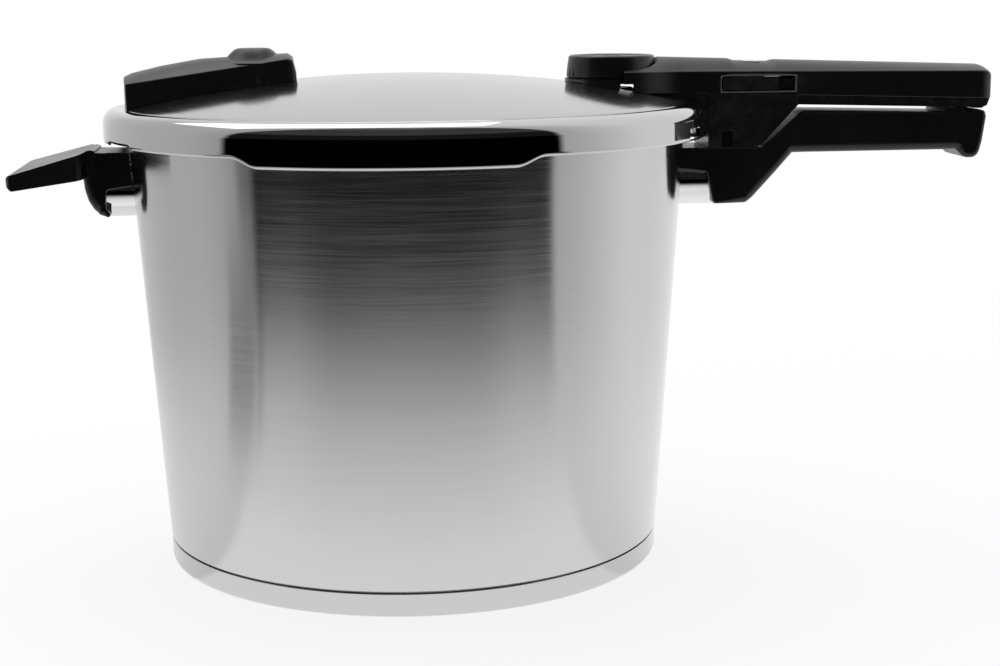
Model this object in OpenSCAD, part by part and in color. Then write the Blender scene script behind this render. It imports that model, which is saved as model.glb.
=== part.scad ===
// Stovetop pressure cooker: a tall steel pot with a capsule base and two plastic handles,
// closed by a domed lid that turns on a three-lug bayonet.
// Millimetres. Origin at the centre of the base's underside, +Z up, +X along the main handle.

/* [Pot] */
// Outer radius of the pot wall at the rim
pot_r = 131.3; // [122:0.1:140]
// Outer radius of the pot wall just above its base
foot_r = 118.2; // [108:0.1:121]
// Height from the worktop to the top of the rim
rim_z = 206.4; // [150:0.1:240]
// Thickness of the steel sheet of pot and lid
sheet = 1.2; // [0.9:0.1:1.6]
// Inside radius between floor and wall
bowl_r = 9; // [6:0.5:20]

/* [Base] */
// Height of the steel cap that wraps the base
cap_h = 11; // [9:0.5:14]
// Thickness of the aluminium heat disc
disc_h = 6; // [4:0.5:7]
// Thickness of the steel cap
cap_t = 0.8; // [0.6:0.1:1.2]
// Outside radius between the underside and the side of the cap
cap_fillet = 3; // [2:0.5:5]
// Height of the groove between the cap and the pot wall
groove_h = 0.8; // [0.5:0.1:1.5]

/* [Bayonet] */
// Reach of the lugs on the pot rim beyond the wall
rim_reach = 7.7; // [6.5:0.1:8.3]
// Angle that each lug on the pot rim covers, in degrees
rim_lug_deg = 50; // [40:1:54]
// Depth of the turned-down edge of the lugs on the pot rim
rim_lug_h = 8.1; // [7:0.1:8.2]
// Reach of the pot rim beyond the wall between its lugs
rim_free = 2.7; // [1.7:0.1:2.9]
// Thickness of the rim
rim_t = 1.4; // [1:0.1:2]
// Angle that each lug on the lid covers, in degrees
lid_lug_deg = 44; // [36:1:46]
// Radial gap between the lugs on the lid and the pot rim between its lugs
lug_gap = 1.2; // [0.8:0.1:2.2]
// Radial gap between the skirt and the lugs on the pot rim
skirt_gap = 1.8; // [1.2:0.1:3]
// Direction of the middle of the front lug, in degrees from +X
front_lug_deg = -97.3; // [-105:0.1:-90]

/* [Lid] */
// Depth of the skirt below the pot's rim
skirt_drop = 5.8; // [3:0.1:6]
// Depth of the skirt's lobes below the pot's rim
lobe_drop = 9.8; // [9.5:0.1:12]
// Angle that each slanted end of a lobe covers, in degrees
lobe_end_deg = 5.5; // [3:0.5:8]
// Height of the lid's shoulder above the pot's rim
shoulder_h = 9.2; // [9:0.1:14]
// Radius of the round shoulder
shoulder_r = 6.5; // [5:0.5:7]
// Width of the shoulder from the crease to the skirt
shoulder_w = 10.2; // [9:0.1:12]
// Rise of the dome from the crease to its top
dome_rise = 13.5; // [11:0.5:20]
// Width of the relief slot in the skirt
slot_w = 14.5; // [8:0.5:20]
// Height of the relief slot in the skirt
slot_h = 5; // [3:0.5:5]
// Direction of the relief slot, in degrees from +X
slot_deg = -28.6; // [-32:0.1:-24]
// Width of the shallow notch in the skirt's lower edge
notch_w = 32; // [10:0.5:34]
// Depth of the shallow notch
notch_h = 1.2; // [0.8:0.1:4]
// Direction of the shallow notch, in degrees from +X
notch_deg = -158.3; // [-162:0.1:-154]
// Width of the sealing ring
seal_w = 10; // [8:0.5:11]

/* [Main handle on the pot] */
// Distance from the lid's skirt to the handle's end
pot_handle_len = 138.2; // [125:0.1:160]
// Half of the width of the handle's root
root_half_w = 16.5; // [15:0.5:22]
// Half of the width of the handle's grip
grip_half_w = 14; // [12:0.5:15]
// Depth of the root's underside below the rim
root_drop = 40.4; // [38:0.1:46]
// Depth of the grip's underside below the rim
grip_drop = 16.9; // [13:0.1:20]
// Gap between the grips of pot and lid
grip_gap = 1.5; // [1:0.1:2.5]
// Depth of the hook at the grip's end
hook_h = 4; // [3:0.5:8]
// Half of the width of the flame guard
guard_half_w = 14; // [12:0.5:14.5]
// Height of the flame guard's underside below the rim
guard_drop = 41.6; // [41:0.1:43]
// Height of the flame guard
guard_h = 25; // [20:0.5:28]

/* [Helper handle on the pot] */
// Distance from the lid's skirt to the paddle's outer edge
paddle_len = 41.4; // [30:0.1:55]
// Half of the width of the paddle's outer edge
paddle_half_w = 40; // [30:0.5:50]
// Half of the width of the shroud around the helper's flame guard
shroud_half_w = 16.5; // [15.5:0.5:20]
// Thickness of the paddle's outer edge
paddle_t = 6.6; // [4:0.1:8]

/* [Lid handle] */
// Distance from the lid's skirt to the lid handle's end
lid_handle_len = 140.4; // [127:0.1:163]
// Half of the width of the lid handle
top_half_w = 15.5; // [14.5:0.5:18]
// Wall thickness of the handle's upper shell
shell_wall = 2.6; // [1.8:0.1:3]
// Height of the handle's crown above its seam, next to the knob
crown_h = 17.4; // [15.5:0.1:20]
// Fall of the crown from the knob to the handle's end
crown_fall = 5.6; // [3:0.1:7]
// Depth of the handle's locking lobe below the rim
lock_lobe_drop = 13.1; // [12.5:0.1:13.3]

/* [Valve] */
// Distance of the main valve from the lid's skirt
valve_inset = 44; // [42:0.5:48]
// Height of the valve's housing above the dome
housing_h = 4.4; // [4:0.1:6]
// Radius of the pressure selector at its foot
knob_r = 21.5; // [19:0.5:23]
// Height of the pressure selector
knob_h = 10.4; // [9:0.1:13]
// Outer radius of the valve's tube
tube_r = 4.5; // [4.2:0.1:4.8]
// Travel of the pressure indicator
indicator_travel = 6; // [4:0.5:7]
// Travel of the automatic vent's pin
vent_travel = 3; // [2:0.5:3]

/* [Lock] */
// Travel of the lock slider along the handle
slider_travel = 8; // [6:0.5:8]
// Travel of the lock bolt
bolt_travel = 4; // [3:0.5:4.5]
// Radius of the lock bolt
bolt_r = 3; // [2.5:0.1:3.2]

/* [Lid grip] */
// Length of the grip, inwards from the crease
lid_grip_len = 79.7; // [68:0.1:86]
// Half of the width of the grip at the lid's edge
lid_grip_half_w = 25; // [20:0.5:30]
// Height of the grip's outer edge above the lid's shoulder
lid_grip_low = 11.4; // [9:0.1:14]
// Rise of the grip's edge from its outer to its inner end
lid_grip_rise = 11; // [8:0.5:13]
// Height of the grip's round thumb rest
thumb_h = 4; // [2:0.2:6]

/* [Fits] */
// Radial clearance of a part that turns or slides in a bore
run_fit = 0.08; // [0.05:0.01:0.1]
// Clearance between a fixed part and the part that it sits in
seat_fit = 0.15; // [0.1:0.01:0.25]
// Clearance between lid and pot
turn_gap = 0.35; // [0.3:0.05:0.5]

/* [Hidden] */
$fn = 96;
eps = 0.01;
far = 400;
lug_n = 3;
lug_pitch = 360 / lug_n;

// Radii of the rim and the lid
rim_lug_r = pot_r + rim_reach;
rim_free_r = pot_r + rim_free;
lid_lug_in_r = rim_free_r + lug_gap;
lid_r = rim_lug_r + skirt_gap + sheet;
crease_r = lid_r - shoulder_w;
valve_x = lid_r - valve_inset;

// Heights and radii of the pot
floor_z = cap_t + disc_h;
foot_z = cap_h + groove_h;
foot_in_r = foot_r - cap_t - 2 * seat_fit;
corner_r = foot_z - floor_z;
disc_r = foot_in_r - corner_r;

// Heights of the lid
skirt_z = rim_z - skirt_drop;
lobe_z = rim_z - lobe_drop;
shoulder_z = rim_z + shoulder_h;
dome_z = shoulder_z + dome_rise;
slot_z = skirt_z + 0.8;
crease_half = 0.8;
crease_depth = 0.5;

// Sealing ring
seal_z = rim_z + turn_gap;
seal_out_r = lid_r - sheet - 2 * seat_fit;
seal_t = 2;

// Valve housing and seam of the lid handle, which set the heights of the lid's fittings
lobe_in_x = lid_r + seat_fit;
housing_z = dome_at(valve_x) + housing_h;
housing_r = knob_r + 0.8;
seam_z = housing_z - 7.6;

// Locking lobe and underside of the lid handle
lid_end_x = lid_r + lid_handle_len;
lobe_len = 25.5;
lobe_low_x = lobe_in_x + lobe_len;
lobe_bottom_z = rim_z - lock_lobe_drop;
lobe_slope = 0.94;
grip_t = 5.9;
grip_under_z = seam_z - grip_t;
grip_under_x = lobe_low_x + (grip_under_z - lobe_bottom_z) * lobe_slope;
under_fall = 0.03;
pad_len = 8.5;
pad_from_end = 23;
tip_len = 9;
tip_drop = 0.4;
tip_flat_end = 5;

// Top of the lid handle
crown_z = seam_z + crown_h;
crown_half_w = 5;
bevel_h = 10.6;
bevel_z = seam_z + bevel_h;
bevel_fall = 1.8;
collar_len = 33;

// Main handle on the pot
handle_end_x = lid_r + pot_handle_len;
root_x = lid_r + 3.5;
root_len = 30;
taper_len = 16;
root_eave_h = 18.4;
root_foot_len = 15.4;
root_top_z = lobe_bottom_z - turn_gap;
root_z = rim_z - root_drop;
grip_z = rim_z - grip_drop;
guard_z = rim_z - guard_drop;
guard_t = 0.8;
guard_corner = min(guard_half_w, guard_h / 2) - 0.5;
guard_end_x = root_x + 3;
screw_x = root_x + 8;
tongue_z = guard_z + 12;
tongue_t = 6;
tongue_half_w = 8;
tongue_end_x = screw_x + 5;

// Helper handle on the pot
helper_root_x = lid_r + 0.3;
helper_neck_x = helper_root_x + 7.4;
helper_out_x = helper_root_x + 9.2;
helper_edge_x = lid_r + paddle_len;
helper_screw_z = guard_z + 14;
helper_block_half_w = 6;

// Valve stack
knob_z = housing_z + 0.3;
knob_top_z = knob_z + knob_h;
seat_r = 11.2;
seat_z = dome_at(valve_x + seat_r);
gasket_t = 0.75;
nut_h = 4;
flange_r = 8;
flange_t = 1.5;
tube_bottom_z = seat_z - 7.2;
passage_x = valve_x + 7.5;
passage_w = 6.6;
passage_deg = 10;
passage_top_z = housing_z - 2.2;
tube_top_z = knob_z + 4.7;
tube_roof = 1.5;
stem_r = 2;
piston_h = 4;
piston_z = tube_bottom_z - 3;
tube_bore_r = tube_r - 1;
cap_bore_r = 3.6;
spring_wire = 0.4;
clip_t = 0.8;

// Automatic vent
vent_from_valve = 19;
vent_x = valve_x + vent_from_valve;
vent_hole_r = 3.4;
vent_pin_r = 1.9;
vent_z = dome_at(vent_x);

// Screws that hold the lid handle from inside the lid
lid_screw_from_valve = 24;
lid_screw_x = valve_x + lid_screw_from_valve;
lid_screw_y = 9;
lid_screw_top_z = seam_z + 8;
screw_r = 2;
screw_head_r = 3.5;
screw_head_h = 2;

// Screws that hold the lid handle's cover on its base
cover_screw_inset = [14.5, 24];
cover_screw_x = [grip_under_x + cover_screw_inset[0], lid_end_x - cover_screw_inset[1]];
cover_screw_r = 1.5;
cover_screw_head_r = 3.2;
cover_boss_r = 4;
cover_screw_deep = 8;

// Lock
slider_x = lobe_in_x + 6.9;
slider_len = 27;
window_gap = 0.4;
window_len = slider_len + slider_travel + 2 * window_gap;
window_z = seam_z + 0.9;
window_h = 7;
bolt_x = slider_x + 10.9;
wedge_k = bolt_travel / slider_travel;
wedge_z = seam_z + 1.6;
wedge_gap = 0.15;
wedge_half_w = 4;
bolt_head_r = 5.2;
bolt_head_z = seam_z - 2.9;
bolt_head_t = 1.5;
bolt_head_half_l = 2.5;
wedge_x = bolt_x - bolt_head_half_l - slider_travel;
wedge_end_x = bolt_x + 5;
bolt_bottom_z = lobe_bottom_z + 0.6;
spring_floor_z = seam_z - 13.4;
lens_x = slider_x + 12.4;
lens_len = 8;
lens_half_w = 4;

// Lid grip
grip_out_r = crease_r - 0.1;
thumb_inset = 59.7;
thumb_x = thumb_inset - grip_out_r;
thumb_r = 13.5;
thumb_top_r = 6.5;
thumb_depth = 6.6;
lid_grip_screw_inset = [51.7, 19.7];
lid_grip_screw_x = [for (d = lid_grip_screw_inset) d - grip_out_r];
lid_grip_screw_deep = 7;

// Height of the dome's outside at a distance from its centre
function dome_at(r) = shoulder_z + dome_rise * (1 - pow(r / crease_r, 2));

// Outer radius of the pot wall at a height
function wall_at(z) = foot_r + (z - foot_z) * (pot_r - foot_r) / (rim_z - foot_z);

// Points of an arc in the plane of a profile
function arc(x, z, r, from, to, steps = 10) =
  [for (i = [0:steps]) let (a = from + (to - from) * i / steps) [x + r * cos(a), z + r * sin(a)]];

// Underside of the lid handle's grip at a distance from the axis
function under_at(x) = grip_under_z - under_fall * (x - grip_under_x);

// Seam between the lid handle's base and cover
function seam_at(x) = seam_z - under_fall * (x - lobe_in_x);

// Share of the way from the knob to the lid handle's end
function along(x) = (x - valve_x - knob_r) / (lid_end_x - valve_x - knob_r);

// Crown and bevel edge of the lid handle at a distance from the axis
function crown_at(x) = crown_z - crown_fall * along(x);
function bevel_at(x) = bevel_z - bevel_fall * along(x);

module ring(r_out, r_in, z0, z1) {
  translate([0, 0, z0])
    difference() {
      cylinder(r = r_out, h = z1 - z0);
      translate([0, 0, -1]) cylinder(r = r_in, h = z1 - z0 + 2);
    }
}

// Upright bore or pin
module rod(x, y, r, z0, z1) {
  translate([x, y, z0]) cylinder(r = r, h = z1 - z0);
}

// Box from its lowest to its highest corner
module block(low, high) {
  translate(low) cube(high - low);
}

// Wedge of a circle around the axis, between two directions
module sector(from, to, z0, z1) {
  translate([0, 0, z0])
    linear_extrude(z1 - z0)
      polygon(concat([[0, 0]], arc(0, 0, far, from, to, 4)));
}

// Outline in the XZ plane, extruded to both sides of it
module side_plate(points, half_w) {
  rotate([90, 0, 0]) linear_extrude(2 * half_w, center = true) polygon(points);
}

// Rectangle with round corners
module round_rect(w, h, r) {
  square([w - 2 * r, h], center = true);
  square([w, h - 2 * r], center = true);
  for (x = [-1, 1], y = [-1, 1])
    translate([x * (w / 2 - r), y * (h / 2 - r)]) circle(r = r);
}

// Solid through rings of points that all have the same number of points
module loft(rings) {
  n = len(rings[0]);
  m = len(rings);
  sides = [
    for (i = [0:m - 2], j = [0:n - 1])
      let (k = (j + 1) % n)
        each [[i * n + j, i * n + k, (i + 1) * n + k], [i * n + j, (i + 1) * n + k, (i + 1) * n + j]]
  ];
  polyhedron(
    points = [for (r = rings) each r],
    faces = concat([[for (j = [n - 1:-1:0]) j]], sides, [[for (j = [0:n - 1]) (m - 1) * n + j]])
  );
}

// Round wire wound around an upright line
module coil(r, wire, z0, z1, turns) {
  steps = 14 * turns;
  loft([
    for (i = [0:steps])
      let (a = 360 * turns * i / steps, z = z0 + wire + (z1 - z0 - 2 * wire) * i / steps)
        [
          for (b = [0:60:300])
            let (reach = r + wire * cos(b))
              [reach * cos(a), reach * sin(a), z + wire * sin(b)]
        ]
  ]);
}

// Solid inside of the pot's outer wall, grown by a gap
module wall_solid(gap) {
  translate([0, 0, foot_z]) cylinder(r1 = foot_r + gap, r2 = pot_r + gap, h = rim_z - foot_z);
}

module pot_body() {
  in_r = foot_r - sheet;
  color("silver") {
    rotate_extrude()
      polygon(concat(
        [[0, floor_z], [disc_r, floor_z]],
        arc(disc_r, foot_z, corner_r, -90, 0),
        [[foot_r, foot_z], [pot_r, rim_z], [pot_r - sheet, rim_z]],
        arc(in_r + 0.5 - bowl_r, floor_z + sheet + bowl_r, bowl_r, 0, -90),
        [[0, floor_z + sheet]]
      ));
    ring(rim_free_r, pot_r - sheet / 2, rim_z - rim_t, rim_z);
    for (i = [0:lug_n - 1])
      intersection() {
        union() {
          ring(rim_lug_r, pot_r - sheet / 2, rim_z - rim_t, rim_z);
          ring(rim_lug_r, rim_lug_r - sheet, rim_z - rim_lug_h, rim_z);
        }
        rotate(front_lug_deg + i * lug_pitch)
          sector(-rim_lug_deg / 2, rim_lug_deg / 2, rim_z - rim_lug_h, rim_z);
      }
  }
}

module base_disc() {
  color("gainsboro") rod(0, 0, disc_r, cap_t, floor_z);
}

module base_cap() {
  r = foot_r - seat_fit;
  in = r - cap_t;
  color("silver")
    rotate_extrude()
      polygon(concat(
        [[0, 0]],
        arc(r - cap_fillet, cap_fillet, cap_fillet, -90, 0),
        [[r, cap_h], [in, cap_h]],
        arc(r - cap_fillet, cap_fillet, cap_fillet - cap_t, 0, -90),
        [[0, cap_t]]
      ));
}

// Bar with the flame guard's round section, set in from its outside
module guard_bar(inset, end_x) {
  translate([0, 0, guard_z + guard_h / 2])
    rotate([90, 0, 90])
      linear_extrude(end_x)
        round_rect(2 * (guard_half_w - inset), guard_h - 2 * inset, guard_corner - inset);
}

// Steel bracket on the pot wall, facing +X, with a plate and a block
module bracket(block_low, block_high) {
  difference() {
    union() {
      intersection() {
        wall_solid(2 + seat_fit);
        guard_bar(guard_t + 0.8, far);
      }
      block(block_low, block_high);
    }
    wall_solid(eps);
  }
}

// Rounded steel sleeve between the pot wall and a handle, facing +X
module flame_guard(end_x) {
  difference() {
    guard_bar(0, end_x);
    guard_bar(guard_t, end_x + 1);
    wall_solid(eps);
  }
}

module main_bracket() {
  color("darkgray")
    difference() {
      bracket(
        [pot_r - 10, -tongue_half_w, tongue_z],
        [tongue_end_x, tongue_half_w, tongue_z + tongue_t]
      );
      rod(screw_x, 0, screw_r + run_fit, tongue_z - 1, tongue_z + tongue_t + 1);
    }
}

module main_flame_guard() {
  color("whitesmoke") flame_guard(guard_end_x);
}

module pot_handle() {
  gap = turn_gap + 0.95;
  top_x = grip_under_x + gap;
  pad_x = handle_end_x - pad_from_end + 2.4;
  tip_x = handle_end_x - tip_len + 2.4;
  end_z = under_at(handle_end_x) - tip_drop - turn_gap;
  outline = [
    [wall_at(guard_z) + 0.8, guard_z + root_eave_h],
    [root_x - 9.9, guard_z + root_eave_h - 0.9],
    [root_x - 4.3, guard_z + root_eave_h - 2],
    [root_x - 3.2, guard_z + 13.7],
    [root_x - 0.9, root_z + 1.2],
    [root_x + 0.2, root_z],
    [root_x + root_foot_len, root_z],
    [root_x + root_foot_len + 3.3, root_z + 2.1],
    [root_x + root_len + 8.6, grip_z],
    [handle_end_x - 14.2, grip_z],
    [handle_end_x - 12.8, grip_z - 0.3 * hook_h],
    [handle_end_x - 11.2, grip_z - 0.8 * hook_h],
    [handle_end_x - 9.2, grip_z - hook_h],
    [handle_end_x - 6, grip_z - hook_h],
    [handle_end_x - 3.9, grip_z - 0.7 * hook_h],
    [handle_end_x - 2.8, grip_z - 0.1 * hook_h],
    [handle_end_x - 1.7, grip_z + 4],
    [handle_end_x, end_z - 3.4],
    [handle_end_x - 1.3, end_z - 0.8],
    [handle_end_x - 4, end_z],
    [tip_x, under_at(tip_x) - tip_drop - turn_gap],
    [tip_x - 1.5, under_at(tip_x) - grip_gap],
    [pad_x + pad_len + 1.2, under_at(pad_x + pad_len) - grip_gap],
    [pad_x + pad_len, under_at(pad_x + pad_len) - turn_gap],
    [pad_x, under_at(pad_x) - turn_gap],
    [pad_x - 1.2, under_at(pad_x) - grip_gap],
    [top_x + 1.5, under_at(top_x) - grip_gap],
    [top_x - 0.3, under_at(top_x) - grip_gap - 0.7],
    [lobe_low_x + gap, root_top_z],
    [wall_at(root_top_z) + 0.5, root_top_z]
  ];
  plan = [
    [0, -root_half_w],
    [root_x + root_len, -root_half_w],
    [root_x + root_len + taper_len, -grip_half_w],
    [handle_end_x - 4, -grip_half_w],
    [handle_end_x, -grip_half_w + 4],
    [handle_end_x, grip_half_w - 4],
    [handle_end_x - 4, grip_half_w],
    [root_x + root_len + taper_len, grip_half_w],
    [root_x + root_len, root_half_w],
    [0, root_half_w]
  ];
  color("black")
    difference() {
      intersection() {
        side_plate(outline, root_half_w + 1);
        linear_extrude(rim_z + far) polygon(plan);
      }
      wall_solid(0.5);
      guard_bar(-seat_fit, guard_end_x + seat_fit);
      block(
        [0, -tongue_half_w - seat_fit, tongue_z - seat_fit],
        [tongue_end_x + seat_fit, tongue_half_w + seat_fit, tongue_z + tongue_t + seat_fit]
      );
      rod(screw_x, 0, screw_r + seat_fit, root_z - 1, tongue_z + tongue_t + 6);
      rod(screw_x, 0, screw_head_r + 1 + seat_fit, root_z - 1, root_z + 5);
      rod(bolt_x, 0, bolt_r + 0.6, root_top_z - bolt_travel - 1.5, root_top_z + 1);
    }
}

module pot_handle_screw() {
  head_z = root_z + 2;
  color("gray") {
    rod(screw_x, 0, screw_head_r + 1, head_z, root_z + 5);
    rod(screw_x, 0, screw_r, root_z + 5 - eps, tongue_z + tongue_t + 5);
  }
}

// The helper's parts are drawn facing +X and turned to -X
module helper_bracket() {
  color("darkgray")
    rotate(180)
      difference() {
        bracket(
          [pot_r - 10, -helper_block_half_w, helper_screw_z - helper_block_half_w],
          [helper_root_x + 2, helper_block_half_w, helper_screw_z + helper_block_half_w]
        );
        translate([pot_r - 1, 0, helper_screw_z])
          rotate([0, 90, 0]) cylinder(r = screw_r + run_fit, h = far);
      }
}

module helper_flame_guard() {
  color("whitesmoke") rotate(180) flame_guard(helper_root_x + 1);
}

module helper_handle() {
  root = helper_root_x;
  neck = helper_neck_x;
  out = helper_out_x;
  edge = helper_edge_x;
  slope = 0.2685;
  top_in_z = rim_z - 9.9;
  top_out_z = top_in_z - slope * (edge - neck);
  block_gap = helper_block_half_w + seat_fit;
  shroud = [
    [wall_at(guard_z + 12) + 0.8, guard_z + 15.5],
    [root - 4.5, guard_z + 13.4],
    [root - 2.7, guard_z + 6.5],
    [root - 1.8, guard_z + 3.2],
    [root + 0.8, guard_z + 2.9],
    [root + 4, guard_z + 4.6],
    [out - 2.4, guard_z + 8.2],
    [out - 0.7, guard_z + 12.4],
    [out, guard_z + 17.6],
    [out, top_in_z - 4],
    [neck - 2, top_in_z - 0.6],
    [root - 0.8, rim_z - 10.8],
    [wall_at(rim_z) - 0.1, rim_z - 11]
  ];
  paddle_side = [
    [out - 6, top_in_z - 11.4],
    [edge - 2.2, top_out_z - paddle_t],
    [edge - 0.4, top_out_z - paddle_t + 1.6],
    [edge, top_out_z - 1],
    [edge - 1.2, top_out_z + 0.3],
    [neck - 2, top_in_z + slope * 2],
    [out - 6, top_in_z]
  ];
  wing_half_w = paddle_half_w - 8;
  half_plan = [
    [root + 2, shroud_half_w],
    [neck - 0.6, shroud_half_w + 1.5],
    [neck + 0.6, wing_half_w - 4],
    [neck + 2.8, wing_half_w],
    [edge - 2.5, paddle_half_w],
    [edge, paddle_half_w - 3]
  ];
  paddle_plan = concat(
    [for (p = half_plan) [p[0], -p[1]]],
    [for (i = [len(half_plan) - 1:-1:0]) half_plan[i]]
  );
  color("black")
    rotate(180)
      difference() {
        union() {
          side_plate(shroud, shroud_half_w);
          intersection() {
            side_plate(paddle_side, paddle_half_w + 1);
            linear_extrude(rim_z) polygon(paddle_plan);
          }
        }
        wall_solid(0.5);
        guard_bar(-seat_fit, root + 1 + seat_fit);
        block(
          [0, -block_gap, helper_screw_z - block_gap],
          [root + 2 + seat_fit, block_gap, helper_screw_z + block_gap]
        );
        translate([pot_r, 0, helper_screw_z])
          rotate([0, 90, 0]) cylinder(r = screw_r + seat_fit, h = far);
        translate([out - 4, 0, helper_screw_z])
          rotate([0, 90, 0]) cylinder(r = screw_head_r + 0.5 + seat_fit, h = far);
      }
}

module helper_handle_screw() {
  tip_x = pot_r + 3;
  head_x = helper_out_x - 4;
  color("gray")
    rotate(180)
      translate([0, 0, helper_screw_z])
        rotate([0, 90, 0]) {
          rod(0, 0, screw_r, tip_x, head_x + eps);
          rod(0, 0, screw_head_r + 0.5, head_x, head_x + 2.6);
        }
}

// Outline of the lid's outside from the centre to the skirt, grown by a gap
function lid_outline(gap) = concat(
  [for (i = [0:14]) let (r = (crease_r - crease_half) * i / 14) [r, dome_at(r) + gap]],
  [[crease_r, shoulder_z - crease_depth + gap], [crease_r + 1.5 * crease_half, shoulder_z + gap]],
  arc(lid_r - shoulder_r, shoulder_z - shoulder_r, shoulder_r + gap, 90, 0)
);

// Everything under the lid's outside, grown by a gap
module lid_solid(gap) {
  rotate_extrude()
    polygon(concat([[0, root_z]], lid_outline(gap), [[lid_r + gap, root_z]]));
}

// Flat seat sunk into the dome around the main valve
module valve_seat() {
  difference() {
    intersection() {
      rod(valve_x, 0, seat_r, seat_z - sheet, dome_z);
      lid_solid(-sheet / 2);
    }
    rod(valve_x, 0, seat_r - sheet, seat_z, dome_z + 1);
  }
}

// Prisms that bound the three lobes, drawn through the skirt from the axis outwards
module lobe_prisms() {
  low_w = lid_r * sin(lid_lug_deg / 2);
  high_w = lid_r * sin(lid_lug_deg / 2 + lobe_end_deg);
  for (i = [0:lug_n - 1])
    rotate(i * lug_pitch)
      rotate([90, 0, 90])
        linear_extrude(far)
          polygon([[-low_w, lobe_z - 1], [low_w, lobe_z - 1], [high_w, skirt_z + 1], [-high_w, skirt_z + 1]]);
}

// Dome, shoulder, skirt and lobes, with the first lug towards +X
module lid_sheet() {
  outside = lid_outline(0);
  inside = lid_outline(-sheet);
  difference() {
    rotate_extrude()
      polygon(concat(
        outside,
        [[lid_r, lobe_z], [lid_r - sheet, lobe_z]],
        [for (i = [len(inside) - 1:-1:0]) inside[i]]
      ));
    difference() {
      ring(lid_r + 1, lid_r - sheet - 1, lobe_z - 1, skirt_z);
      lobe_prisms();
    }
  }
  for (i = [0:lug_n - 1])
    rotate(i * lug_pitch)
      intersection() {
        ring(lid_r - sheet / 2, lid_lug_in_r, lobe_z, lobe_z + sheet);
        sector(-lid_lug_deg / 2, lid_lug_deg / 2, lobe_z - 1, lobe_z + sheet + 1);
      }
}

module lid_shell() {
  color("silver")
    difference() {
      union() {
        difference() {
          rotate(front_lug_deg) lid_sheet();
          rod(valve_x, 0, seat_r - sheet / 2, rim_z, dome_z + 1);
        }
        valve_seat();
      }
      rod(valve_x, 0, tube_r + seat_fit, rim_z, dome_z);
      rod(vent_x, 0, vent_hole_r, rim_z, dome_z);
      for (y = [-1, 1]) rod(lid_screw_x, y * lid_screw_y, screw_r + seat_fit, rim_z, dome_z);
      for (x = lid_grip_screw_x) rod(x, 0, screw_r + seat_fit, rim_z, dome_z);
      rotate(slot_deg)
        block([crease_r, -slot_w / 2, slot_z], [lid_r + 5, slot_w / 2, slot_z + slot_h]);
      rotate(notch_deg)
        block([crease_r, -notch_w / 2, lobe_z - 1], [lid_r + 5, notch_w / 2, skirt_z + notch_h]);
    }
}

module sealing_ring() {
  in = seal_out_r - seal_w;
  top = shoulder_z - sheet - crease_depth - seat_fit;
  color("dimgray")
    rotate_extrude()
      polygon([
        [seal_out_r, seal_z],
        [seal_out_r, shoulder_z - shoulder_r],
        [seal_out_r - 3.6, top],
        [in, top],
        [in + 0.6, top - seal_t],
        [seal_out_r - seal_t - 2.6, top - seal_t],
        [seal_out_r - seal_t, top - seal_t - 2],
        [seal_out_r - seal_t, seal_z + 1.4],
        [in + 1.5, seal_z + 0.8],
        [in + 1.5, seal_z]
      ]);
}

// Slanted passage for steam through the foot of the housing
module passage() {
  translate([passage_x, 0, 0])
    rotate(-passage_deg)
      block([-passage_w / 2, -far, rim_z], [passage_w / 2, far, passage_top_z]);
}

// Cross-section of the lid handle's cover at a distance from the axis
function cover_ring(x, w, crown, bevel, bottom) = [
  for (p = [
    [w, bottom],
    [w, bevel - 0.8],
    [w - 0.7, bevel + 0.4],
    [crown_half_w, crown - 0.5],
    [0, crown],
    [-crown_half_w, crown - 0.5],
    [-w + 0.7, bevel + 0.4],
    [-w, bevel - 0.8],
    [-w, bottom]
  ]) [x, -p[0], p[1]]
];

// Outer solid of the lid handle's cover
module cover_solid() {
  dip_x = lens_x - 3.6;
  dip_end_x = lens_x + lens_len + 3.6;
  dip_slope = 4.2;
  collar_w = housing_r + 2 - top_half_w;
  // distance from the axis, loss of half width, fall of the crown and of the bevel
  collar_rows = [
    for (i = [0:6])
      [valve_x + 2 + collar_len * i / 6, -collar_w * (1 + cos(30 * i)) / 2, 0, 0]
  ];
  end_rows = [
    [dip_x - dip_slope, 0, 0, 0],
    [dip_x, 0, 0.9, 0],
    [dip_end_x, 0, 0.7, 0],
    [dip_end_x + dip_slope, 0, 0, 0],
    [lid_end_x - 7, 0, 0, 0],
    [lid_end_x - 3, 0.8, 0.3, 0.2],
    [lid_end_x - 1.2, 2.2, 1.2, 0.8],
    [lid_end_x, 4.5, 3, 1.8]
  ];
  loft([
    for (s = concat(collar_rows, end_rows))
      cover_ring(
        s[0],
        top_half_w - s[1],
        crown_at(s[0]) - s[2],
        bevel_at(s[0]) - s[3],
        seam_at(s[0])
      )
  ]);
}

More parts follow.
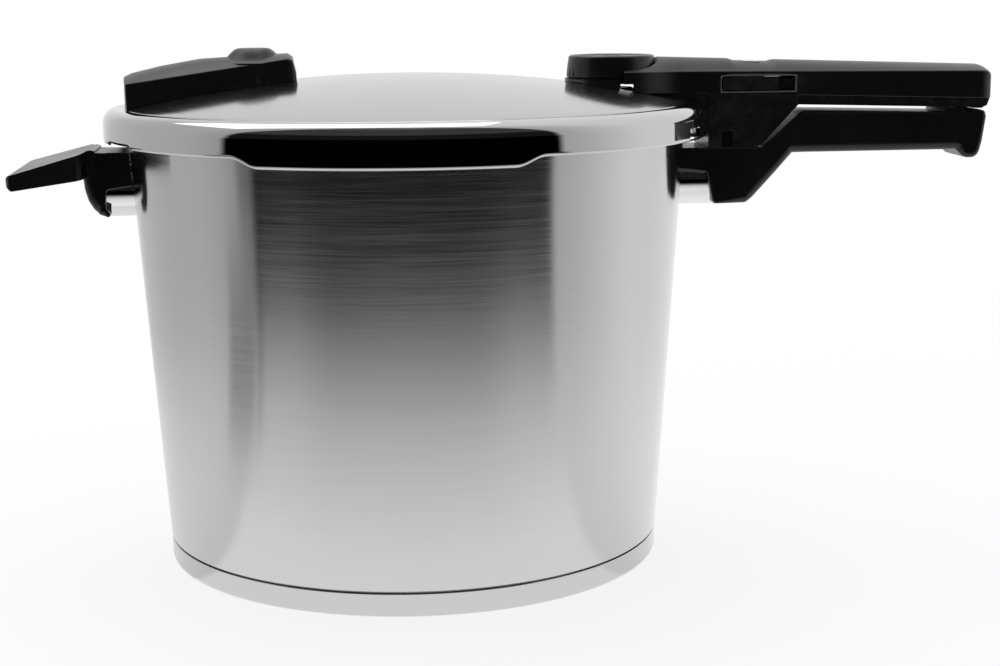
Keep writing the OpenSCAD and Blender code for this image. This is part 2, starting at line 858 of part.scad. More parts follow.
module lid_handle_cover() {
  cavity_x = lid_screw_x + 6;
  cavity_end_x = lid_end_x - 12;
  w = top_half_w - shell_wall;
  roof = shell_wall + 1;
  color("black")
    difference() {
      cover_solid();
      rod(valve_x, 0, housing_r + seat_fit, rim_z, crown_z + 1);
      lid_solid(seat_fit);
      passage();
      difference() {
        loft([
          for (x = [cavity_x, cavity_end_x])
            [
              for (p = [
                [w, seam_at(x) - 1],
                [w, bevel_at(x) - roof],
                [crown_half_w, crown_at(x) - roof],
                [-crown_half_w, crown_at(x) - roof],
                [-w, bevel_at(x) - roof],
                [-w, seam_at(x) - 1]
              ]) [x, -p[0], p[1]]
            ]
        ]);
        for (x = cover_screw_x) rod(x, 0, cover_boss_r, seam_at(x) - 2, crown_z);
      }
      block(
        [slider_x - window_gap, -far, window_z],
        [slider_x - window_gap + window_len, far, window_z + window_h]
      );
      block([lens_x, -lens_half_w, bevel_z], [lens_x + lens_len, lens_half_w, crown_z + 1]);
      rod(vent_x, 0, 6, rim_z, vent_z + 8);
      for (y = [-1, 1])
        rod(lid_screw_x, y * lid_screw_y, screw_r + run_fit, rim_z, lid_screw_top_z + 0.5);
      for (x = cover_screw_x) rod(x, 0, cover_screw_r + run_fit, rim_z, seam_at(x) + cover_screw_deep + 0.5);
    }
}

// Everything above the seam between the lid handle's base and cover
module above_seam() {
  side_plate([
    [0, seam_at(0)],
    [far, seam_at(far)],
    [far, crown_z + far],
    [0, crown_z + far]
  ], far);
}

module lid_handle_base() {
  w = top_half_w - 2.5;
  roof_t = 1.5;
  tip_x = lid_end_x - tip_len;
  tip_flat_x = lid_end_x - tip_flat_end;
  strip = [
    [valve_x, crown_z],
    [valve_x, rim_z],
    [lobe_in_x, rim_z],
    [lobe_in_x, under_at(lobe_in_x)],
    [tip_x - 1.5, under_at(tip_x - 1.5)],
    [tip_x, under_at(tip_x) - tip_drop],
    [tip_flat_x, under_at(tip_flat_x) - tip_drop],
    [lid_end_x - 2.2, under_at(lid_end_x) + 1.2],
    [lid_end_x - 1.2, under_at(lid_end_x) + 4],
    [lid_end_x - 1.2, crown_z]
  ];
  lobe = [
    [lobe_in_x, lobe_bottom_z],
    [lobe_low_x, lobe_bottom_z],
    [grip_under_x, grip_under_z],
    [grip_under_x, crown_z],
    [lobe_in_x, crown_z]
  ];
  color([0.08, 0.08, 0.08])
    difference() {
      union() {
        difference() {
          union() {
            side_plate(strip, w);
            block([valve_x, -top_half_w, rim_z], [lobe_in_x + 1, top_half_w, crown_z]);
            side_plate(lobe, top_half_w + 0.5);
          }
          above_seam();
        }
        rod(valve_x, 0, housing_r, rim_z, housing_z);
      }
      lid_solid(seat_fit);
      rod(valve_x, 0, housing_r - 6, rim_z, housing_z - roof_t);
      rod(valve_x, 0, tube_r + seat_fit, rim_z, housing_z + 1);
      rod(vent_x, 0, 6, rim_z, vent_z + 8);
      passage();
      for (y = [-1, 1]) rod(lid_screw_x, y * lid_screw_y, screw_r + seat_fit, rim_z, crown_z);
      for (x = cover_screw_x) {
        rod(x, 0, cover_screw_r + seat_fit, rim_z, seam_z + 1);
        rod(x, 0, cover_screw_head_r + 0.2, rim_z, under_at(x) + 2.4);
      }
      rod(bolt_x, 0, bolt_r + run_fit, lobe_bottom_z - 1, seam_z);
      rod(bolt_x, 0, bolt_head_r + 0.3, spring_floor_z, seam_z + 1);
      block(
        [wedge_x - 0.6, -wedge_half_w - 0.5, wedge_z - 5.7],
        [wedge_end_x + slider_travel + 0.6, wedge_half_w + 0.5, seam_z + 1]
      );
      block([slider_x - 0.4, -far, lobe_bottom_z - 1], [slider_x + 4.9, -top_half_w + 2.5, skirt_z]);
    }
}

module lid_handle_screws() {
  head_z = dome_at(lid_screw_x + screw_head_r + 0.5) - sheet - screw_head_h - seat_fit;
  color("gray")
    for (y = [-1, 1]) {
      rod(lid_screw_x, y * lid_screw_y, screw_head_r, head_z, head_z + screw_head_h);
      rod(lid_screw_x, y * lid_screw_y, screw_r, head_z + 1, lid_screw_top_z);
    }
}

module cover_screws() {
  color("gray")
    for (x = cover_screw_x) {
      rod(x, 0, cover_screw_head_r, under_at(x) + 0.4, under_at(x) + 2.4);
      rod(x, 0, cover_screw_r, under_at(x) + 1, seam_at(x) + cover_screw_deep);
    }
}

module valve_body() {
  color("lightgray")
    difference() {
      union() {
        rod(valve_x, 0, tube_r, tube_bottom_z, tube_top_z);
        rod(valve_x, 0, flange_r, seat_z, seat_z + flange_t);
      }
      rod(valve_x, 0, tube_bore_r, tube_bottom_z - 1, tube_top_z - tube_roof);
      rod(valve_x, 0, stem_r + 0.2, tube_bottom_z, tube_top_z + 1);
    }
}

module valve_gasket() {
  top = seat_z - sheet;
  color("tan") translate([valve_x, 0, 0]) ring(flange_r - 0.5, tube_r + run_fit, top - gasket_t, top);
}

module valve_nut() {
  top = seat_z - sheet - gasket_t;
  color("gray")
    translate([valve_x, 0, top - nut_h])
      difference() {
        cylinder(r = flange_r, h = nut_h, $fn = 6);
        translate([0, 0, -1]) cylinder(r = tube_r + run_fit, h = nut_h + 2);
      }
}

module valve_spring() {
  r = (stem_r + tube_bore_r) / 2;
  color("lightgray")
    translate([valve_x, 0, 0])
      coil(r, spring_wire, piston_z + piston_h + 0.05, tube_top_z - tube_roof - 0.05, 7);
}

module pressure_indicator() {
  color("white") {
    rod(valve_x, 0, tube_bore_r - run_fit, piston_z, piston_z + piston_h);
    rod(valve_x, 0, stem_r, piston_z + piston_h - eps, knob_top_z - 1);
    difference() {
      rod(valve_x, 0, cap_bore_r - run_fit, tube_top_z + 0.6, knob_top_z - 0.3);
      for (i = [1:2])
        translate([valve_x, 0, knob_top_z - 0.3 - 1.6 * i])
          ring(cap_bore_r, cap_bore_r - 0.5, 0, 0.4);
    }
  }
}

module pressure_selector() {
  rim_in_r = knob_r - 3;
  dish = 0.7;
  profile = concat(
    [[tube_r + run_fit, knob_z], [knob_r, knob_z], [knob_r - 1, knob_top_z - 1.6]],
    arc(knob_r - 2.3, knob_top_z - 1.2, 1.2, 0, 90, 5),
    [
      [rim_in_r - 0.6, knob_top_z - 0.1],
      [rim_in_r - 2, knob_top_z - dish],
      [cap_bore_r + 2.4, knob_top_z - dish],
      [cap_bore_r + 1.4, knob_top_z - 0.1],
      [cap_bore_r, knob_top_z - 0.1],
      [cap_bore_r, tube_top_z + 2.2],
      [7.2, tube_top_z + 2.2],
      [7.2, tube_top_z - 1.1],
      [tube_r + run_fit, tube_top_z - 1.1]
    ]
  );
  color("black")
    difference() {
      translate([valve_x, 0, 0]) rotate_extrude() polygon(profile);
      rotate_copies(valve_x, [150:12:210])
        translate([knob_r + 0.4, 0, knob_z + 1]) cylinder(r = 0.9, h = knob_h);
      translate([valve_x, 0, 0])
        rotate(180)
          block([rim_in_r - 9, -0.8, knob_top_z - dish - 0.5], [rim_in_r - 2.5, 0.8, knob_top_z]);
    }
}

// Copies of the children around an upright line at a distance from the axis
module rotate_copies(x, angles) {
  for (a = angles) translate([x, 0, 0]) rotate(a) children();
}

module selector_clip() {
  z = tube_top_z - clip_t;
  color("darkgray")
    translate([valve_x, 0, 0])
      difference() {
        ring(6.2, tube_r + eps, z, z + clip_t);
        block([0, -2, z - 1], [10, 2, z + 2]);
      }
}

module vent_grommet() {
  low = dome_at(vent_x + 5.5) - sheet - seat_fit;
  high = dome_at(vent_x - 4.4) + seat_fit;
  color("dimgray")
    translate([vent_x, 0, 0]) {
      ring(vent_hole_r - run_fit, vent_pin_r + 0.2, low - 1.5, high + 1);
      ring(5.5, vent_pin_r + 0.2, low - 1.5, low);
      ring(4.4, vent_pin_r + 0.2, high, high + 1);
    }
}

module vent_pin() {
  low = dome_at(vent_x + 5.5) - sheet - seat_fit - 1.5;
  high = dome_at(vent_x - 4.4) + seat_fit + 1;
  color("gray") {
    rod(vent_x, 0, vent_pin_r, low - vent_travel - 1.5, high + 1);
    rod(vent_x, 0, 2.9, low - vent_travel - 1.8, low - vent_travel - 0.3);
    rod(vent_x, 0, 3.2, high + 0.3, high + 1.7);
  }
}

module lock_slider() {
  top = window_z + window_h - window_gap;
  bar_z = wedge_z + 1.9;
  pad_w = top_half_w - 0.2;
  pad_in = pad_w - shell_wall - 1;
  shutter_t = 0.9;
  wedge = [
    [wedge_x, wedge_z + wedge_k * (wedge_x - bolt_x) + wedge_gap],
    [wedge_end_x, wedge_z + wedge_k * (wedge_end_x - bolt_x) + wedge_gap],
    [wedge_end_x, bar_z + 2],
    [wedge_x, bar_z + 2]
  ];
  color([0.2, 0.2, 0.2]) {
    for (side = [0, 1])
      translate([slider_x, 0, 0])
        mirror([0, side, 0]) {
          block([0, pad_in, window_z + window_gap], [slider_len, pad_w, top]);
          block(
            [-slider_travel - window_gap, pad_in - shutter_t, window_z + window_gap],
            [slider_len + slider_travel + window_gap, pad_in + eps, top - 1]
          );
        }
    block([slider_x + 1, -pad_w + 1, bar_z], [slider_x + slider_len - 5, pad_w - 1, top]);
    side_plate(wedge, wedge_half_w);
  }
}

module lock_flag() {
  bottom = window_z + window_h - window_gap;
  x = lens_x - slider_travel;
  w = lens_half_w - 0.5;
  color("green") {
    block([x, -w, bottom], [x + lens_len, w, bottom + 1.2]);
  }
}

module lock_bolt() {
  l = bolt_head_half_l;
  head = [
    [bolt_x - l, bolt_head_z],
    [bolt_x + l, bolt_head_z],
    [bolt_x + l, wedge_z + wedge_k * l - wedge_gap],
    [bolt_x - l, wedge_z - wedge_k * l - wedge_gap]
  ];
  color("silver") {
    rod(bolt_x, 0, bolt_r, bolt_bottom_z, bolt_head_z + bolt_head_t);
    rod(bolt_x, 0, bolt_head_r, bolt_head_z, bolt_head_z + bolt_head_t);
    side_plate(head, wedge_half_w - 0.2);
  }
}

module bolt_spring() {
  r = (bolt_r + bolt_head_r + 0.3) / 2;
  color("lightgray")
    translate([bolt_x, 0, 0]) coil(r, 0.45, spring_floor_z + 0.05, bolt_head_z - 0.05, 5);
}

module lock_window() {
  gap = 0.05;
  top = crown_at(lens_x) - 1.1;
  color("lightgreen")
    block(
      [lens_x + gap, -lens_half_w + gap, top - 1.9],
      [lens_x + lens_len - gap, lens_half_w - gap, top]
    );
}

// Cross-section of the lid grip at a distance from the lid's centre
function grip_ring(x, w_low, w_top, edge, crown) = [
  for (p = [
    [w_low, rim_z],
    [w_low, shoulder_z - 1.2],
    [w_top + 0.3, edge - 1],
    [w_top - 0.8, edge],
    [w_top * 0.55, (edge + 2 * crown) / 3],
    [0, crown],
    [-w_top * 0.55, (edge + 2 * crown) / 3],
    [-w_top + 0.8, edge],
    [-w_top - 0.3, edge - 1],
    [-w_low, shoulder_z - 1.2],
    [-w_low, rim_z]
  ]) [x, -p[0], p[1]]
];

module lid_grip() {
  out = -grip_out_r;
  edge_z = shoulder_z + lid_grip_low;
  // share of the length, loss of half width at the foot and at the top edge, fall, bulge
  rows = [
    [-0.01, -0.4, 3, 0.4, 2.7],
    [0.04, 0, 3, 0, 3.7],
    [0.21, 2, 4, 0, 5],
    [0.44, 4.6, 5.4, 0, 5.6],
    [0.72, 8, 8.4, 0, 3.7],
    [0.95, 10.6, 11.2, 0, 2],
    [0.98, 11.2, 12, 1.2, 1.3],
    [1, 12.2, 13.4, 8, 0.5]
  ];
  color("black")
    difference() {
      intersection() {
        union() {
          loft([
            for (r = rows)
              let (z = edge_z + lid_grip_rise * r[0] - r[3])
                grip_ring(out + lid_grip_len * r[0], lid_grip_half_w - r[1], lid_grip_half_w - r[2], z, z + r[4])
          ]);
          translate([thumb_x, 0, edge_z + lid_grip_rise + thumb_h - thumb_depth])
            rotate_extrude()
              polygon(concat(
                [[0, -1], [thumb_r, -1]],
                [
                  for (i = [0:10])
                    [
                      thumb_r + (thumb_top_r - thumb_r) * i / 10,
                      thumb_depth * (1 - cos(18 * i)) / 2
                    ]
                ],
                [[0, thumb_depth]]
              ));
        }
        rod(0, 0, grip_out_r, rim_z, rim_z + far);
      }
      lid_solid(seat_fit);
      for (x = lid_grip_screw_x)
        rod(x, 0, screw_r + run_fit, rim_z, dome_at(x) + lid_grip_screw_deep + 0.5);
    }
}

module lid_grip_screws() {
  color("gray")
    for (x = lid_grip_screw_x) {
      head_z = dome_at(x - screw_head_r) - sheet - screw_head_h - seat_fit;
      rod(x, 0, screw_head_r, head_z, head_z + screw_head_h);
      rod(x, 0, screw_r, head_z + 1, dome_at(x) + lid_grip_screw_deep);
    }
}

pot_body();
base_disc();
base_cap();
main_bracket();
main_flame_guard();
pot_handle();
pot_handle_screw();
helper_bracket();
helper_flame_guard();
helper_handle();
helper_handle_screw();
lid_shell();
sealing_ring();
lid_handle_base();
lid_handle_cover();
lid_handle_screws();
cover_screws();
valve_body();
valve_nut();
valve_gasket();
valve_spring();
pressure_indicator();
pressure_selector();
selector_clip();
vent_grommet();
vent_pin();
lock_slider();
lock_flag();
lock_bolt();
bolt_spring();
lock_window();
lid_grip();
lid_grip_screws();
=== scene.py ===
"""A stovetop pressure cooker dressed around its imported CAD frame. Lengths inside this script are in
millimetres in the row frame, and go into the meshes in metres. Directions are in degrees from +X."""

import math

import bmesh
import bpy
from mathutils import Matrix, Vector


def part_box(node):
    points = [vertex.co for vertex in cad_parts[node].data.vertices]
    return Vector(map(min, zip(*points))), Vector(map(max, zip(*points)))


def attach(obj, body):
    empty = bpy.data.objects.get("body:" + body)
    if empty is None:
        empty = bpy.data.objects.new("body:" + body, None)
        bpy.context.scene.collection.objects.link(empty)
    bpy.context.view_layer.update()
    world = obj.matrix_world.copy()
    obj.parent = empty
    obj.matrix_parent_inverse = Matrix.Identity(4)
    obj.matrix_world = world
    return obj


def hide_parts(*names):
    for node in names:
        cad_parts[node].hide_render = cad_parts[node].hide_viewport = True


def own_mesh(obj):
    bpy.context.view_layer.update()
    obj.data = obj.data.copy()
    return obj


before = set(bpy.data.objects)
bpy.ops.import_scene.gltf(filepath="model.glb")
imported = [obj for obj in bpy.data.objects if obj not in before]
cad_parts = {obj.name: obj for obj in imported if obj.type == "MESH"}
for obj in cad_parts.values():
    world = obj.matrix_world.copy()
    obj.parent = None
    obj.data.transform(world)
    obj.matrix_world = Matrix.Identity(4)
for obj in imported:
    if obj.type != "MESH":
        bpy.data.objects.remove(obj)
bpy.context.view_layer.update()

MM = 0.001


def low(node):
    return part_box(node)[0] / MM


def high(node):
    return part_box(node)[1] / MM


def smooth(t):
    t = min(1.0, max(0.0, t))
    return t * t * (3 - 2 * t)


def turn_between(a, b):
    """Difference of two directions in degrees, from -180 to 180."""
    return (a - b + 180) % 360 - 180


# --- dimensions, from the CAD boxes where they give them ----------------------------------------
RIM_Z = high("pot_body").z
RIM_T = 1.4                 # height of the rolled rim
RIM_LUG_DROP = 8.1          # how far the rim's lugs hang down
RIM_LUG_R = high("pot_body").x
RIM_FREE_R = 134.0
POT_R = 131.3
FOOT_R = 118.2
FOOT_Z = 11.8
FLOOR_Z = low("pot_body").z
BOWL_R = 9                  # inner corner between the wall and the floor
SHEET = 1.2
CAP_T = 0.8
LUG_DIRS = [-97.3, 22.7, 142.7]
LID_R = high("lid_shell").x
LID_LUG_R = 135.2
LOBE_Z = low("lid_shell").z
SKIRT_Z = RIM_Z - 5.8
SHOULDER_Z = RIM_Z + 9.2
SHOULDER_R = 6.5
CREASE_R = LID_R - 10.2
CREASE_HALF = 0.9
DOME_RISE = 13.5
NOTCH_DIR = -158.3
NOTCH_HALF = 6.4
NOTCH_H = 1.2
SLOT_DIR = -28.6
SLOT_HALF = 7.25
SLOT_H = 5
LIP_W, LIP_H = 1.1, 1.7     # round on the skirt's lip
ABOVE = 240                 # a height above the dome

KNOB_X = (low("pressure_selector").x + high("pressure_selector").x) / 2
KNOB_R = (high("pressure_selector").x - low("pressure_selector").x) / 2
KNOB_Z = low("pressure_selector").z
KNOB_TOP = high("pressure_selector").z
SEAT_R = 11.2               # raised seat of the valve in the dome
VALVE_BORE_R = 4.65
VENT_X = KNOB_X + 19

HANDLE_END = high("lid_handle_cover").x
HANDLE_HALF_W = high("lock_slider").y + 0.2
CROWN_Z = high("lid_handle_cover").z
SEAM_Z = 218.4              # between the lid handle's base and its cover
BEVEL_H = 10.6
HOUSING_R = KNOB_R + 0.8
HOUSING_Z = SEAM_Z + 7.6
LOBE_IN_X = LID_R + 0.15
UNDER_X = 185.75            # where the lid handle's underside starts
UNDER_Z = SEAM_Z - 5.9
FALL = 0.03                 # slope of the lid handle's seam and underside
LENS_X = low("lock_window").x - 0.05
SLIDER_TRAVEL = 8
WINDOW = (low("lock_slider").x + SLIDER_TRAVEL, high("lock_slider").x, SEAM_Z + 0.9, SEAM_Z + 7.9)
WINDOW_CORNER = 1.4

POT_END = high("pot_handle").x
ROOT_Z = low("pot_handle").z
ROOT_X = LID_R + 3.5
ROOT_TOP_Z = 192.95
ROOT_HALF_W = 16.5
GRIP_HALF_W = 14.0
GRIP_Z = RIM_Z - 16.9
GUARD_Z = low("main_flame_guard").z
GUARD_TOP = high("main_flame_guard").z
GUARD_END = high("main_flame_guard").x
GUARD_HALF_W = 14
GUARD_CORNER = 12
TONGUE_Z = GUARD_Z + 12
SCREW_X = (low("pot_handle_screw").x + high("pot_handle_screw").x) / 2
BOLT_X = (low("lock_bolt").x + high("lock_bolt").x) / 2

FIT = 0.15                  # clearance of a pocket around what it holds
HANDLE_SCREWS = [(KNOB_X + 24, -9), (KNOB_X + 24, 9)]
COVER_SCREWS = [(low("cover_screws").x + 3.2, 0), (high("cover_screws").x - 3.2, 0)]
GRIP_SCREWS = [(-80, 0), (-112, 0)]
SCREW_BORE_R = 2.08
SCREW_HOLE_R = 2.15
COVER_BORE_R = 1.58


def dome_at(r):
    return SHOULDER_Z + DOME_RISE * (1 - (r / CREASE_R) ** 2)


def wall_at(z):
    return FOOT_R + (z - FOOT_Z) * (POT_R - FOOT_R) / (RIM_Z - FOOT_Z)


def under_at(x):
    return UNDER_Z - FALL * (x - UNDER_X)


def seam_at(x):
    return SEAM_Z - FALL * (x - LOBE_IN_X)


def along(x):
    """0 at the selector, 1 at the lid handle's end."""
    return (x - KNOB_X - KNOB_R) / (HANDLE_END - KNOB_X - KNOB_R)


def crown_at(x):
    return CROWN_Z - 5.6 * along(x)


def bevel_at(x):
    return SEAM_Z + BEVEL_H - 1.8 * along(x)


# --- mesh helpers -------------------------------------------------------------------------------
def make_object(name, verts, faces, sharp=35):
    me = bpy.data.meshes.new(name)
    me.from_pydata([Vector(v) * MM for v in verts], [], faces)
    me.validate()
    ob = bpy.data.objects.new(name, me)
    bpy.context.scene.collection.objects.link(ob)
    tidy_mesh(me, sharp)
    return ob


def smooth_faces(me, sharp):
    me.polygons.foreach_set("use_smooth", [True] * len(me.polygons))
    me.set_sharp_from_angle(angle=math.radians(sharp))


def tidy_mesh(me, sharp=35):
    bm = bmesh.new()
    bm.from_mesh(me)
    bmesh.ops.remove_doubles(bm, verts=bm.verts, dist=1e-6)
    bmesh.ops.dissolve_degenerate(bm, edges=bm.edges, dist=1e-6)
    bmesh.ops.recalc_face_normals(bm, faces=bm.faces)
    bm.to_mesh(me)
    bm.free()
    smooth_faces(me, sharp)
    me.update()


def apply_modifiers(ob):
    dg = bpy.context.evaluated_depsgraph_get()
    dg.update()
    me = bpy.data.meshes.new_from_object(ob.evaluated_get(dg))
    old = ob.data
    ob.modifiers.clear()
    ob.data = me
    bpy.data.meshes.remove(old)


def boolean(ob, cutters, operation="DIFFERENCE"):
    for cutter in cutters:
        mod = ob.modifiers.new("cut", "BOOLEAN")
        mod.operation = operation
        mod.solver = "EXACT"
        mod.object = cutter
    apply_modifiers(ob)
    for cutter in cutters:
        me = cutter.data
        bpy.data.objects.remove(cutter)
        bpy.data.meshes.remove(me)
    tidy_mesh(ob.data)
    return ob


def soften(ob, width, angle=40, segments=2):
    """Small round on the sharp edges, then normals weighted by face area."""
    if width:
        mod = ob.modifiers.new("edge", "BEVEL")
        mod.width = width * MM
        mod.segments = segments
        mod.limit_method = "ANGLE"
        mod.angle_limit = math.radians(angle)
        mod.use_clamp_overlap = True
        mod.miter_outer = "MITER_ARC"
        apply_modifiers(ob)
        smooth_faces(ob.data, 60)
    mod = ob.modifiers.new("normals", "WEIGHTED_NORMAL")
    mod.keep_sharp = True
    return ob


def finish_piece(ob, body, material, slot, *nodes):
    ob.data.materials.clear()
    ob.data.materials.append(material)
    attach(ob, body)
    if nodes:
        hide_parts(*nodes)
    return ob


def revolve(name, profile, n=256, start=0.0, centre=(0, 0)):
    """Closed body of revolution. profile is a list of (r, z), or a function of the direction in degrees."""
    rings = []
    for i in range(n):
        a = start + 360 * i / n
        points = profile(a) if callable(profile) else profile
        c, s = math.cos(math.radians(a)), math.sin(math.radians(a))
        rings.append([(centre[0] + r * c, centre[1] + r * s, z) for r, z in points])
    m = len(rings[0])
    verts = [p for ring in rings for p in ring]
    faces = []
    for i in range(n):
        j = (i + 1) % n
        for k in range(m):
            q = (k + 1) % m
            faces.append((i * m + k, j * m + k, j * m + q, i * m + q))
    return make_object(name, verts, faces)


def arc(x, z, r, a0, a1, steps=8):
    out = []
    for i in range(steps + 1):
        a = math.radians(a0 + (a1 - a0) * i / steps)
        out.append((x + r * math.cos(a), z + r * math.sin(a)))
    return out


def is_clockwise(outline):
    pairs = zip(outline, outline[1:] + outline[:1])
    return sum(a[0] * b[1] - b[0] * a[1] for a, b in pairs) <= 0


def corner(outline, i):
    """The point i of a closed outline, between its neighbours."""
    return [Vector(outline[(i + k) % len(outline)][:2]) for k in (-1, 0, 1)]


def fillet(points, steps=6):
    """Closed outline with round corners. Each point is (x, z, corner radius, edge round).
    Returns (x, z, edge round) with the edge round kept below the corner radius on outside corners."""
    pts = points[::-1] if is_clockwise(points) else points
    out = []
    for i, (_, _, radius, edge) in enumerate(pts):
        before, point, after = corner(pts, i)
        back, ahead = before - point, after - point
        space = min(0.48 * back.length, 0.48 * ahead.length)
        back.normalize()
        ahead.normalize()
        half = math.acos(max(-1.0, min(1.0, back.dot(ahead)))) / 2
        if radius <= 0 or half > math.radians(88.5):
            out.append((point.x, point.y, edge))
            continue
        reach = min(radius / math.tan(half), space)
        real = reach * math.tan(half)
        centre = point + (back + ahead).normalized() * (real / math.sin(half))
        outside = back.cross(ahead) < 0
        edge = min(edge, 0.92 * real) if outside else edge
        start, end = point + back * reach - centre, point + ahead * reach - centre
        sweep = start.angle_signed(end) if start.length > 1e-9 else 0
        for k in range(steps + 1):
            arm = start.copy()
            arm.rotate(Matrix.Rotation(-sweep * (k / steps), 2))
            out.append((*(centre + arm), edge))
    return out


def loft(name, rings, sharp=40):
    """Closed body through rings of as many points each."""
    n = len(rings[0])
    verts = [p for ring in rings for p in ring]
    faces = [tuple(range(n))[::-1], tuple(range(len(verts) - n, len(verts)))]
    for k in range(len(rings) - 1):
        for i in range(n):
            j = (i + 1) % n
            faces.append((k * n + i, k * n + j, (k + 1) * n + j, (k + 1) * n + i))
    return make_object(name, verts, faces, sharp)


def pillow(name, outline, half_w, rings=5):
    """Outline in the XZ plane, extruded to both sides of it, with round edges. outline is (x, z, edge round)."""
    if is_clockwise(outline):
        outline = outline[::-1]
    normals = []
    for i in range(len(outline)):
        before, point, after = corner(outline, i)
        e0, e1 = (point - before).normalized(), (after - point).normalized()
        n0, n1 = Vector((-e0.y, e0.x)), Vector((-e1.y, e1.x))
        m = (n0 + n1).normalized()
        normals.append(m / max(0.5, m.dot(n0)))
    levels = [math.radians(90 * k / rings) for k in range(rings + 1)]
    layers = []
    for side, turns in ((-1, levels[::-1]), (1, levels)):
        for t in turns:
            layer = []
            for (x, z, e), nn in zip(outline, normals):
                off = e * (1 - math.cos(t))
                layer.append((x + nn.x * off, side * (half_w - e * (1 - math.sin(t))), z + nn.y * off))
            layers.append(layer)
    return loft(name, layers, 50)


def bar(name, a, b, r=0.0, steps=5, axis="Y"):
    """Box from corner a to corner b whose four edges along an axis are round."""
    k = "XYZ".index(axis)
    u, v = [i for i in range(3) if i != k]
    flat = fillet([(a[u], a[v], r, 0), (b[u], a[v], r, 0), (b[u], b[v], r, 0), (a[u], b[v], r, 0)], steps)
    rings = []
    for w in (a[k], b[k]):
        rings.append([(*p[:k], w, *p[k:2]) for p in flat])
    return loft(name, rings, 35)


def pin(name, x, y, r, z0, z1, n=64, axis="Z"):
    """Cutter: a round bar along an axis through (x, y) of the other two."""
    circle = [(x + r * math.cos(2 * math.pi * i / n), y + r * math.sin(2 * math.pi * i / n)) for i in range(n)]
    return loft(name, [[(p, q, z) if axis == "Z" else (z, p, q) for p, q in circle] for z in (z0, z1)], 35)


def screw_bores(places, r, top):
    """Cutters for screws at (x, y) places, from below up to top(x)."""
    return [pin("screw", x, y, r, RIM_Z, top(x), 32) for x, y in places]


def mirrored(x, half):
    """Ring across X from the (y, z) points of its half, which end at the middle."""
    left = [(-y, z) for y, z in half[:-1]][::-1]
    return [(x, -y, z) for y, z in half + left]


def wall_cutter(gap=0.5):
    """The room of the pot and its wall."""
    return revolve("wall", [(0.01, FOOT_Z), (FOOT_R + gap, FOOT_Z), (POT_R + gap, RIM_Z), (0.01, RIM_Z)], 360)


def guard_pocket(end):
    """Room for a flame guard, out to x = end."""
    w = GUARD_HALF_W + FIT
    return bar("pocket", (90, -w, GUARD_Z - FIT), (end + FIT, w, GUARD_TOP + FIT), 12.1, 12, "X")


def copy_of(node, name):
    """A new object with a copy of a CAD node's mesh."""
    ob = bpy.data.objects.new(name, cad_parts[node].data.copy())
    bpy.context.scene.collection.objects.link(ob)
    return ob


def turned(ob, degrees):
    ob.data.transform(Matrix.Rotation(math.radians(degrees), 4, "Z"))
    return ob


# --- materials ----------------------------------------------------------------------------------
class Nodes:
    """Short calls for the nodes of one node tree."""

    def __init__(self, tree):
        self.tree = tree

    def feed(self, socket, value):
        if isinstance(value, bpy.types.NodeSocket):
            self.tree.links.new(value, socket)
        else:
            socket.default_value = value

    def node(self, kind, values=None, **props):
        nd = self.tree.nodes.new(kind)
        for key, value in props.items():
            setattr(nd, key, value)
        for key, value in (values or {}).items():
            self.feed(nd.inputs[key], value)
        return nd

    def math(self, op, a, b=0.0, c=0.0):
        return self.node("ShaderNodeMath", {0: a, 1: b, 2: c}, operation=op).outputs[0]

    def vector(self, op, a, b=(0, 0, 0)):
        return self.node("ShaderNodeVectorMath", {0: a, 1: b}, operation=op).outputs

    def split(self, vector):
        return self.node("ShaderNodeSeparateXYZ", {0: vector}).outputs

    def remap(self, value, a, b, c=0.0, d=1.0, kind="LINEAR"):
        values = {"Value": value, "From Min": a, "From Max": b, "To Min": c, "To Max": d}
        return self.node("ShaderNodeMapRange", values, interpolation_type=kind).outputs[0]


